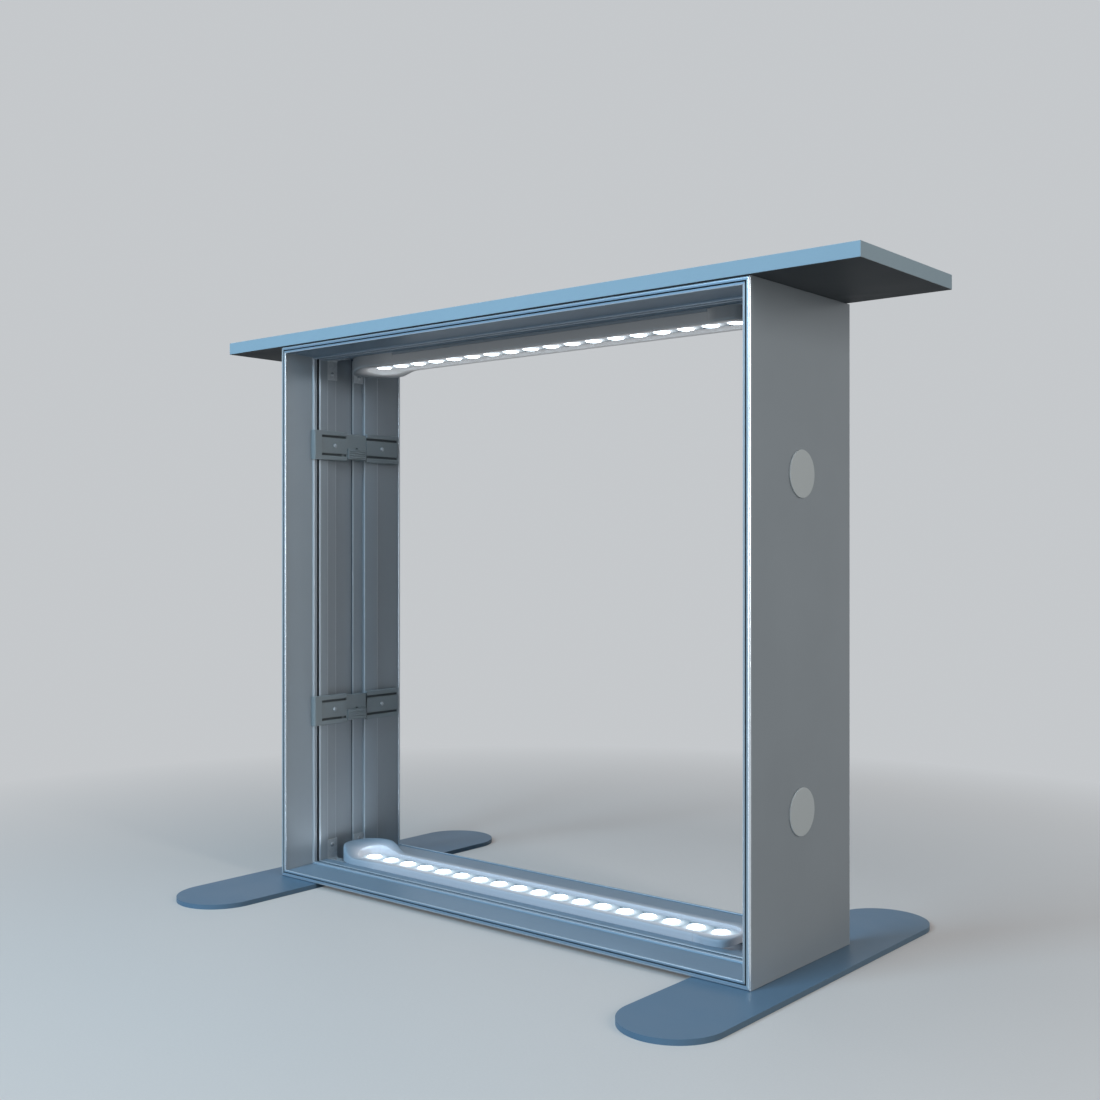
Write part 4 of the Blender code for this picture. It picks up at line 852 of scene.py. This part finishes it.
def housing_stations(reach, squareness, joint, arc_steps=56, leg_steps=12):
    """Round the end: outer point, inner point, turn and way inland at each station."""
    stations = []
    for share in (k / leg_steps for k in range(leg_steps)):
        half, inland = BAR_HALF + (HOUSING_HALF - BAR_HALF) * smooth(share), joint * (1 - share)
        stations.append(((-inland, -half), (-inland, -TROUGH_HALF), -math.pi / 2, inland))
    for k in range(arc_steps + 1):
        turn = math.pi * k / arc_steps - math.pi / 2
        c, s = abs(math.cos(turn)) if 0 < k < arc_steps else 0, math.sin(turn)
        power = 2 / squareness
        outer = (reach * c**power, math.copysign(HOUSING_HALF * abs(s)**power, s))
        stations.append((outer, (TROUGH_HALF * c, TROUGH_HALF * s), turn, -TROUGH_HALF * c))
    mirrored = [((p[0], -p[1]), (q[0], -q[1]), -turn, inland) for p, q, turn, inland in stations[:leg_steps]]
    return stations + mirrored[::-1]


def rim_row(outer, inner, high, low, base):
    """One station's section: up the outer wall, over the rounded crest and down to the floor."""
    outer, inner = Vector(outer), Vector(inner)
    inward, fall = (inner - outer).normalized(), low - high
    row = [(outer, base), (outer, high - EDGE_DROP)]
    row += [(outer + inward * EDGE_IN * (1 - math.cos(a)), high - EDGE_DROP * (1 - math.sin(a)))
            for a in quarter(5)[1:]]
    crest = outer + inward * EDGE_IN
    row += [(crest.lerp(inner, share), high + fall * share) for share in (0.25, 0.5, 0.75)]
    row += [(inner - inward * RIM_LIP, low - fall * 0.05),
            (inner - inward * RIM_LIP * 0.3, low - RIM_LIP * 0.35)]
    return row + [(inner, low - RIM_LIP), (inner, TROUGH_FLOOR)]


def housing(bar, hand):
    left = hand == "left"
    side, lens, end = (-1, bar.first, bar.left_joint) if left else (1, bar.last, bar.right_joint)
    hood = HOOD_HEIGHT - bar.seat - BAR_RIM if left else 0
    base = RIDGE_HEIGHT + SEAT_GAP - bar.seat
    mesh, rows = bmesh.new(), []
    for outer, inner, turn, inland in housing_stations(END_REACH[hand], END_SQUARENESS[hand],
                                                       abs(lens - end) - SEAT_GAP / 2):
        high = BAR_RIM + hood * hood_rise(turn, inland, HOOD_TURN)
        low = BAR_RIM + hood * HOOD_INNER_SHARE * hood_rise(turn, inland, HOOD_INNER_TURN)
        foot = min(base, 0) if abs(outer[1]) < CHANNEL_HALF and inland > 0 else base
        rows.append([mesh.verts.new(bar_point(bar, lens + side * p.x, p.y, h))
                     for p, h in rim_row(outer, inner, high, low, foot)])
    for here, there in zip(rows, rows[1:]):
        for k in range(len(here) - 1):
            mesh.faces.new((here[k], here[k + 1], there[k + 1], there[k]))
    add_lid(mesh, [row[0] for row in rows], 0, 1)
    add_lid(mesh, [row[-1] for row in rows], 0, 1)
    add_lid(mesh, rows[0] + rows[-1][::-1], 1, 2)
    return piece_from(f"{bar.name}_{hand}_moulding", mesh, 38)


for bar in BARS:
    for hand in ("left", "right"):
        made = housing(bar, hand)
        settle(made, bar_plastic[bar.name], "root", "white_plastic", f"{bar.name}_{hand}_housing")
        print(made.name, len(made.data.polygons), "faces")

# %% [markdown]
# The tray between two housings is an extrusion with the same wall as theirs, so it takes its
# section from the same row of points, mirrored to the other side. Four short screws go up through
# its base into the housings' tongues, in holes that a Boolean cuts.
# %% Trays and their screws
CHAMBER_HALF = BAR_HALF - TRAY_WALL
TONGUE, END_SCREW_ACROSS = 0.020, 0.0147
END_HOLE = [(0, -0.002), (0.0018, -0.002), (0.0018, 0.0062), (0, 0.0062)]
END_SCREW = [(0, 0.0012), (0.00088, 0.0011), (0.0011, 0.0002), (0.0014, 0.0001), (0.0016, 0.0003),
             (0.0016, 0.0052), (0, 0.0058)]


def tray_section():
    row = [(point.y, height) for point, height in rim_row((0, BAR_HALF), (0, TROUGH_HALF), BAR_RIM, BAR_RIM, 0)]
    low, high = BAR_BASE, BAR_BASE + BAR_CHAMBER
    chamber = [(-CHAMBER_HALF, low), (CHAMBER_HALF, low), (CHAMBER_HALF, high), (-CHAMBER_HALF, high)]
    return [row + [(-y, height) for y, height in reversed(row)], chamber]


def end_screw_spots(bar):
    """Where the screws enter the tray's underside, and their aim."""
    return [(bar_point(bar, joint + side * TONGUE / 2, y, 0), (0, 0, bar.sign))
            for joint, side in ((bar.left_joint, 1), (bar.right_joint, -1))
            for y in (-END_SCREW_ACROSS, END_SCREW_ACROSS)]


def tray(bar):
    start, end = bar.left_joint + SEAT_GAP / 2, bar.right_joint - SEAT_GAP / 2
    mesh, holes = bmesh.new(), bmesh.new()
    add_prism(mesh, tray_section(), lambda y, h: bar_point(bar, start, y, h),
              lambda y, h: bar_point(bar, end, y, h))
    for spot, aim in end_screw_spots(bar):
        add_turned(holes, END_HOLE, aimed(spot, aim), 24)
    return carved(piece_from(f"{bar.name}_channel", mesh, 38), holes)


for bar in BARS:
    made = settle(tray(bar), bar_plastic[bar.name], "root", "white_plastic", f"{bar.name}_tray")
    screws = on_spots(f"{bar.name}_end_screws", turned("end_screw", END_SCREW, UPWARDS, 24), dull_zinc,
                      end_screw_spots(bar))
    settle(screws, dull_zinc, "root", "zinc_steel")
    print(made.name, len(made.data.polygons), "faces,", len(end_screw_spots(bar)), "screws")

# %% [markdown]
# The lenses are low domes of clear plastic over bright diodes. Seen from a step away each one is
# a plain white ellipse with a soft halo on the board. A small emission on the board round each
# lens gives the halo: the board's material folds Object coordinates with a fraction, so that one
# rule serves all eighteen lenses.
# %% Lens and board materials
LENS_GLOW, HALO, HALO_START, HALO_END = 9.0, 0.9, 0.26, 0.70


def glowing_lens():
    made = Recipe("lens_glow")
    core, grain = made.marked("core"), made.noise(500.0, 2.0)
    strength = made.maths("MULTIPLY", made.spread(core, 0.06, 1.0, 0.0, 1.0),
                          made.spread(grain, LENS_GLOW - 0.5, LENS_GLOW + 0.5))
    tint = made.between(core, (0.90, 0.95, 1.0), (0.74, 0.88, 1.0))
    return made.surface(Base_Color=tint, Roughness=0.15, Emission_Color=tint, Emission_Strength=strength)


def lit_board(bar):
    """White solder mask, a little brighter round each lens."""
    made = Recipe(f"{bar.name}_solder_mask")
    place, fine = made.axes(), made.noise(900.0)
    along = made.maths("SUBTRACT", place["X"], bar.first - LENS_PITCH / 2)
    fold = made.maths("SUBTRACT", made.maths("FRACT", made.maths("DIVIDE", along, LENS_PITCH)), 0.5)
    distance = made.distance(fold, made.maths("DIVIDE", place["Y"], LENS_PITCH))
    halo = made.spread(distance, 1.0, 0.0, HALO_START, HALO_END)
    glow = made.maths("MULTIPLY", made.maths("MULTIPLY", halo, halo), HALO)
    skin = made.between(made.spread(fine, 0.0, 1.0), (0.50, 0.54, 0.56), (0.56, 0.60, 0.62))
    made.bump(fine, 0.12, 0.0002)
    return made.surface(Base_Color=skin, Roughness=made.spread(fine, 0.32, 0.42), Emission_Strength=glow,
                        Emission_Color=(0.84, 0.93, 1.0))


lens_glow = glowing_lens()
print("lens glow", LENS_GLOW, "halo", HALO)

# %% [markdown]
# The circuit board is a long strip with round ends, pressed flat in the trough. One lens and one
# chip resistor are modelled, and the row tree puts eighteen lenses and two lines of resistors on
# the board. An attribute on the lens's points tells the glowing dome from its clear rim.
# %% Lenses, boards and the small parts on them
LENS_CORE, LENS_FOOT, FLANGE_TOP = 0.0130, -0.0003, 0.0010
DOME_RADIUS, DOME_RISE = 0.0139, 0.0028
CHIP_BODY, CHIP_CAP, CHIP_ROW = (0.0022, 0.0032, 0.0007), (0.0018, 0.0016, 0.00085), 0.017


def lens_part():
    """One lens: a foot, a flange and a low dome; core is 1 where it glows and 0 at the rim."""
    profile = [(0, LENS_FOOT), (LENS_RADIUS, LENS_FOOT), (LENS_RADIUS, 0.0007),
               (LENS_RADIUS - 0.0004, FLANGE_TOP), (LENS_RADIUS - 0.0012, FLANGE_TOP + 0.0001)]
    profile += [(DOME_RADIUS * math.cos(a), FLANGE_TOP + DOME_RISE * math.sin(a)) for a in quarter(8)[:-1]]
    part = turned("lens", profile + [(0, FLANGE_TOP + DOME_RISE)], UPWARDS, 40, angle=50)
    core = part.data.attributes.new("core", "FLOAT", "POINT")
    for item, vertex in zip(core.data, part.data.vertices):
        item.value = 1.0 if vertex.co.xy.length < LENS_CORE else 0.0
    return part


def resistor_part():
    """A chip resistor, lying across the board."""
    mesh = bmesh.new()
    for size in (CHIP_BODY, CHIP_CAP):
        for vertex in bmesh.ops.create_cube(mesh, size=1)["verts"]:
            vertex.co = Vector((vertex.co.x, vertex.co.y, vertex.co.z + 0.5)) * Vector(size)
    return piece_from("resistor", mesh)


def board(bar):
    middle = (bar.first + bar.last) / 2
    mesh = bmesh.new()
    add_prism(mesh, [stadium((bar.last - bar.first) / 2, TROUGH_HALF - BOARD_INSET, 32)],
              lambda x, y: bar_point(bar, middle + x, y, BOARD_LOW),
              lambda x, y: bar_point(bar, middle + x, y, BOARD_TOP))
    return add_bevel(piece_from(f"{bar.name}_strip", mesh), 0.0002, 1, 50)


for bar in BARS:
    node = f"{bar.name}_led_board"
    turn = (0, 0, 0) if bar.sign > 0 else (math.pi, 0, 0)
    settle(board(bar), lit_board(bar), "root", "white_circuit_board", node)
    first = bar_point(bar, bar.first, 0, BOARD_TOP)
    lenses = in_a_row(f"{bar.name}_lenses", lens_part(), lens_glow, first, LENS_COUNT, turn)
    settle(lenses, lens_glow, "root", "white_circuit_board", node)
    for place, y in (("front", -CHIP_ROW), ("rear", CHIP_ROW)):
        first = bar_point(bar, bar.first + LENS_PITCH / 2, y, BOARD_TOP)
        chips = in_a_row(f"{bar.name}_chips_{place}", resistor_part(), hanger_plastic, first,
                         LENS_COUNT - 1, turn)
        settle(chips, hanger_plastic, "root", "white_circuit_board")
    print(bar.name, "lenses:", len(lenses.data.polygons), "faces")

# %% [markdown]
# Small parts of the light bars: the low voltage inlet in the rear of each left housing, turned
# with its bore, the magnets under the bottom tray, and the three rails that carry the top one.
# They are hidden or half hidden from the front, and finished all the same.
# %% Inlets, magnets and hangers
INLET_HEIGHT = 0.0265
INLET = [(0, -0.009), (0.0033, -0.009), (0.0033, 0.0009), (0.0038, 0.0014), (0.0066, 0.0014),
         (0.0072, 0.0008), (0.0072, 0), (0.0052, 0), (0.0052, -0.011), (0, -0.011)]

for bar in BARS:
    mouth = bar_point(bar, bar.first, HOUSING_HALF + SEAT_GAP, INLET_HEIGHT - bar.seat)
    socket = turned(f"{bar.name}_socket", INLET, aimed(mouth, (0, 1, 0)), 40)
    settle(socket, black_nylon, "root", "black_nylon", f"{bar.name}_inlet")
for number in range(1, 5):
    node = f"bottom_bar_magnet_{number}"
    settle(softened(f"tray_magnet_{number}", node, 0.0003), magnet_nickel, "root", "magnet_nickel", node)
for number in range(1, 4):
    node = f"top_bar_hanger_{number}"
    settle(softened(f"tray_hanger_{number}", node, 0.0006), hanger_plastic, "root", "white_plastic", node)
print("small parts of the light bars done")

# %% [markdown]
# Two round blanking caps close the cable ports in the right side. A cap is a thin disc with a
# rounded edge on a skirt that grips the port. On the real object a cap is pulled straight out, so
# each rides on its own body.
# %% Port caps
CAP_TOP, CAP_ROUND, CAP_OVERLAP, SKIRT_WALL, SKIRT_END = SEAT_GAP + 0.0020, 0.0012, 0.0025, 0.0016, -0.0095


def port_cap(name):
    rim, skirt = PORT_RADIUS + CAP_OVERLAP, PORT_RADIUS - SEAT_GAP
    inner = skirt - SKIRT_WALL
    profile = [(rim * share, CAP_TOP) for share in (0, 0.3, 0.6, 0.9)]
    profile += [(rim - CAP_ROUND * (1 - math.sin(a)), CAP_TOP - CAP_ROUND * (1 - math.cos(a)))
                for a in quarter(5)]
    profile += [(rim, SEAT_GAP), (skirt, SEAT_GAP), (skirt, -0.0090), (skirt - 0.0004, SKIRT_END),
                (inner, SKIRT_END), (inner, SEAT_GAP), (0, SEAT_GAP)]
    return turned(f"{name}_blanking_cap", profile, aimed(port_centre(f"{name}_port_cap"), (1, 0, 0)), 72)


for name in ("upper", "lower"):
    settle(port_cap(name), cap_plastic, f"{name}_cap", "pale_cap_plastic", f"{name}_port_cap")
    print(name, "cap done")

# %% [markdown]
# The two bridge clips on the left inner wall hold the middle of a fabric frame. Their plates,
# bridge and ribbed latch come from the CAD, because every slot and hook is there, and get soft
# edges. The latch slides, so it rides on its own body. Each plate has a domed screw.
# %% Bridge clips
CLIP_SCREW_HEAD, CLIP_SCREW_RISE, CLIP_CROSS = 0.0045, 0.0020, 0.0022
GROOVE_START, GROOVE_END, BELOW_FACE = 0.0149, 0.0191, 0.001


def clip_screw(node):
    """A cross recess screw whose head stands where the CAD's does."""
    low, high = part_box(node)
    seat = Vector((high.x - CLIP_SCREW_RISE, *centre_of(node).yz))
    shank = low.x - seat.x
    rings = [(0, shank), (0.0014, shank), (0.0019, shank + 0.0006), (0.0019, 0)]
    rings += [(CLIP_SCREW_HEAD * math.cos(a), CLIP_SCREW_RISE * math.sin(a)) for a in quarter(7)[:5]]
    return cross_screw(f"{node}_finished", rings, CLIP_CROSS, CLIP_SCREW_RISE * 0.93, 0.8,
                       aimed(seat, (1, 0, 0)))


def shaded_grooves(piece, node):
    """Marks the faces in the two long grooves of a clip plate for painted shade."""
    middle, face_x = centre_of(node).z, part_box(node)[1].x - BELOW_FACE
    return mark_faces(piece, lambda face: -1.0 if GROOVE_START < abs(face.center.z - middle) < GROOVE_END
                      and face.center.x < face_x else 0.0)


for clip in ("upper", "lower"):
    for part in ("front_plate", "rear_plate", "bridge"):
        node = f"{clip}_clip_{part}"
        plate = softened(f"{node}_finished", node, 0.0004)
        if part != "bridge":
            shaded_grooves(plate, node)
        settle(plate, clip_plastic, "root", "white_plastic", node)
    node = f"{clip}_clip_latch"
    settle(softened(f"{node}_finished", node, 0.0003), clip_plastic, f"{clip}_latch", "white_plastic", node)
    for end in ("front", "rear"):
        node = f"{clip}_clip_{end}_screw"
        settle(clip_screw(node), dull_zinc, "root", "zinc_steel", node)
    print(clip, "clip done")

# %% [markdown]
# Hidden fixings are finished too, because the counter is also seen from below and from behind:
# hexagon socket bolts under the feet, knurled thumb screws under the worktop, and the threaded
# brass inserts above them.
# %% Bolts, thumb screws and inserts
SOCKET_RADIUS, SOCKET_DEPTH, BOLT_SHANK, BOLT_CONE, TIP = 0.0029, 0.0024, 0.0040, 0.0038, 0.0008
KNOB, KNOB_THICK, KNOB_SHANK, KNURL_TEETH, KNURL_DEPTH = 0.0080, 0.0068, 0.0030, 24, 0.09


def standing(node):
    """The lowest point on a node's axis, its radius and its length."""
    low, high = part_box(node)
    return Vector((*centre_of(node).xy, low.z)), (high.x - low.x) / 2, high.z - low.z


def bent(first_ring, last_ring, shape):
    """An outline that bends some rings only."""
    return lambda turn, number: shape(turn) if first_ring <= number <= last_ring else 1


def hexagon(turn):
    part = (turn + math.pi / 6) % (math.pi / 3) - math.pi / 6
    return math.cos(math.pi / 6) / math.cos(part)


def knurl(turn):
    return 1 - KNURL_DEPTH * (0.5 + 0.5 * math.cos(turn * KNURL_TEETH))


def foot_bolt(node):
    foot, head, length = standing(node)
    profile = [(0, SOCKET_DEPTH), (SOCKET_RADIUS, SOCKET_DEPTH), (SOCKET_RADIUS, 0.0001),
               (SOCKET_RADIUS + 0.0005, 0), (head - 0.0002, 0), (head, 0.0003), (BOLT_SHANK, BOLT_CONE),
               (BOLT_SHANK, length - TIP), (BOLT_SHANK - TIP, length), (0, length)]
    return turned(f"{node}_finished", profile, aimed(foot, (0, 0, 1)), 36, bent(1, 3, hexagon))


def thumb_screw(node):
    foot, _, length = standing(node)
    profile = [(0, 0.0004), (KNOB * 0.55, 0.0004), (KNOB * 0.62, 0), (KNOB - 0.0010, 0), (KNOB, 0.0010),
               (KNOB, KNOB_THICK - 0.0012), (KNOB - 0.0012, KNOB_THICK - 0.0002),
               (KNOB_SHANK, KNOB_THICK - 0.0002), (KNOB_SHANK, length - TIP), (KNOB_SHANK - TIP, length),
               (0, length)]
    return turned(f"{node}_finished", profile, aimed(foot, (0, 0, 1)), 96, bent(4, 5, knurl))


for place in (f"{hand}_{end}" for hand in ("left", "right") for end in ("front", "rear")):
    node = place.replace("_", "_foot_bolt_")
    settle(foot_bolt(node), zinc_steel, "root", "zinc_steel", node)
    node = f"thumbscrew_{place}"
    settle(thumb_screw(node), black_nylon, "root", "black_nylon", node)
    node = f"insert_{place}"
    settle(softened(f"{node}_finished", node, 0.0002), turned_brass, "root", "brass", node)
print("pieces:", len(made_pieces))

# %% [markdown]
# The stage is a pale floor and soft light. The world gives an even studio light to the object,
# and a pale backdrop to the camera and to reflections. The floor melts into that backdrop with
# distance, and what it throws back on the counter is the light of a darker floor, as in the
# photograph. Light Path tells the rays apart in both.
# %% World and floor
BACKDROP, STUDIO, FLOOR_BOUNCE = (0.56, 0.58, 0.60), (0.085, 0.090, 0.096), (0.06, 0.062, 0.065)
FLOOR_RADIUS, MELT_START, MELT_END = 60, 0.7, 1.9


def seen(made):
    """1 for what the camera sees, also in a mirror or through glass."""
    path = made.add("ShaderNodeLightPath").outputs
    bent_rays = made.maths("MAXIMUM", path["Is Glossy Ray"], path["Is Transmission Ray"])
    return made.maths("MAXIMUM", path["Is Camera Ray"], bent_rays)


def mixed(made, factor, first, second):
    mix = made.add("ShaderNodeMixShader")
    for socket, source in zip(mix.inputs, (factor, first, second)):
        made.feed(socket, source)
    return mix.outputs["Shader"]


def coloured(made, kind, colour):
    return made.put(made.add(kind), Color=colour).outputs[0]


def studio_world():
    world = bpy.data.worlds.new("studio")
    bpy.context.scene.world = world
    made = Recipe("studio", world)
    made.tree.nodes.clear()
    light, backdrop = (coloured(made, "ShaderNodeBackground", colour) for colour in (STUDIO, BACKDROP))
    made.put(made.add("ShaderNodeOutputWorld"), Surface=mixed(made, seen(made), light, backdrop))


def floor():
    """A wide disc that turns into the backdrop's own colour away from the counter."""
    mesh = bmesh.new()
    bmesh.ops.create_circle(mesh, cap_ends=True, segments=96, radius=FLOOR_RADIUS)
    piece = piece_from("floor", mesh)
    made = Recipe("floor_paint")
    far = made.spread(made.length(made.place), 0.15, 1.0, MELT_START, MELT_END)
    skin = made.between(made.spread(made.noise(300.0), 0.0, 1.0), (0.78, 0.665, 0.60), (0.80, 0.685, 0.62))
    made.surface(Base_Color=skin, Roughness=0.6)
    glow = coloured(made, "ShaderNodeEmission", BACKDROP)
    bounce = coloured(made, "ShaderNodeBsdfDiffuse", FLOOR_BOUNCE)
    melted = mixed(made, far, made.shader.outputs["BSDF"], glow)
    made.put(made.tree.nodes["Material Output"], Surface=mixed(made, seen(made), bounce, melted))
    piece.data.materials.append(made.material)


studio_world()
floor()
print("world and floor ready")

# %% [markdown]
# A cool soft box stands high in front, which is what the lips face, a weaker one near the floor
# reaches under the worktop, and another hangs overhead. A tall strip on the right lights the right
# side, and through the window the front of the left wall, while the right profile keeps it off the
# rear of that wall. Lenses are too small to light much by themselves, so a long thin lamp just off
# each row, which the camera doesn't see, does that.
# %% Lamps
HEART = (0, 0, 0.5)
ROW_LIGHT, ROW_LIGHT_OFF, ROW_LIGHT_WIDTH = 0.28, 0.008, 0.02


def soft_box(name, place, target, width, height, power, colour):
    data = bpy.data.lights.new(name, "AREA")
    data.shape, data.size, data.size_y = "RECTANGLE", width, height
    data.energy, data.color = power, colour
    lamp = placed(name, data)
    lamp.location = place
    lamp.rotation_euler = (Vector(target) - Vector(place)).to_track_quat("-Z", "Y").to_euler()
    return lamp


soft_box("cool_key", (-0.5, -3.7, 2.6), HEART, 2.2, 1.8, 176, (0.45, 0.75, 1.0))
soft_box("low_fill", (0.3, -4.2, 0.45), HEART, 2.4, 0.8, 26, (0.80, 0.91, 1.0))
soft_box("overhead", (0.2, -0.8, 3.4), HEART, 3.0, 3.0, 13, (0.74, 0.88, 1.0))
soft_box("side_strip", (3.4, -0.47, 1.25), (0.49, -0.10, 0.5), 0.45, 2.0, 40, (0.94, 0.96, 0.95))
for bar in BARS:
    low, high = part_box(f"{bar.name}_led_board")
    place = (low + high) / 2 + Vector((0, 0, bar.sign * ROW_LIGHT_OFF))
    lamp = soft_box(f"{bar.name}_light", place, place + Vector((0, 0, bar.sign)), high.x - low.x,
                    ROW_LIGHT_WIDTH, ROW_LIGHT, (0.90, 0.95, 1.0))
    lamp.visible_camera = False
bpy.context.scene.view_settings.view_transform = "Standard"
print("lamps:", len(bpy.data.lights))
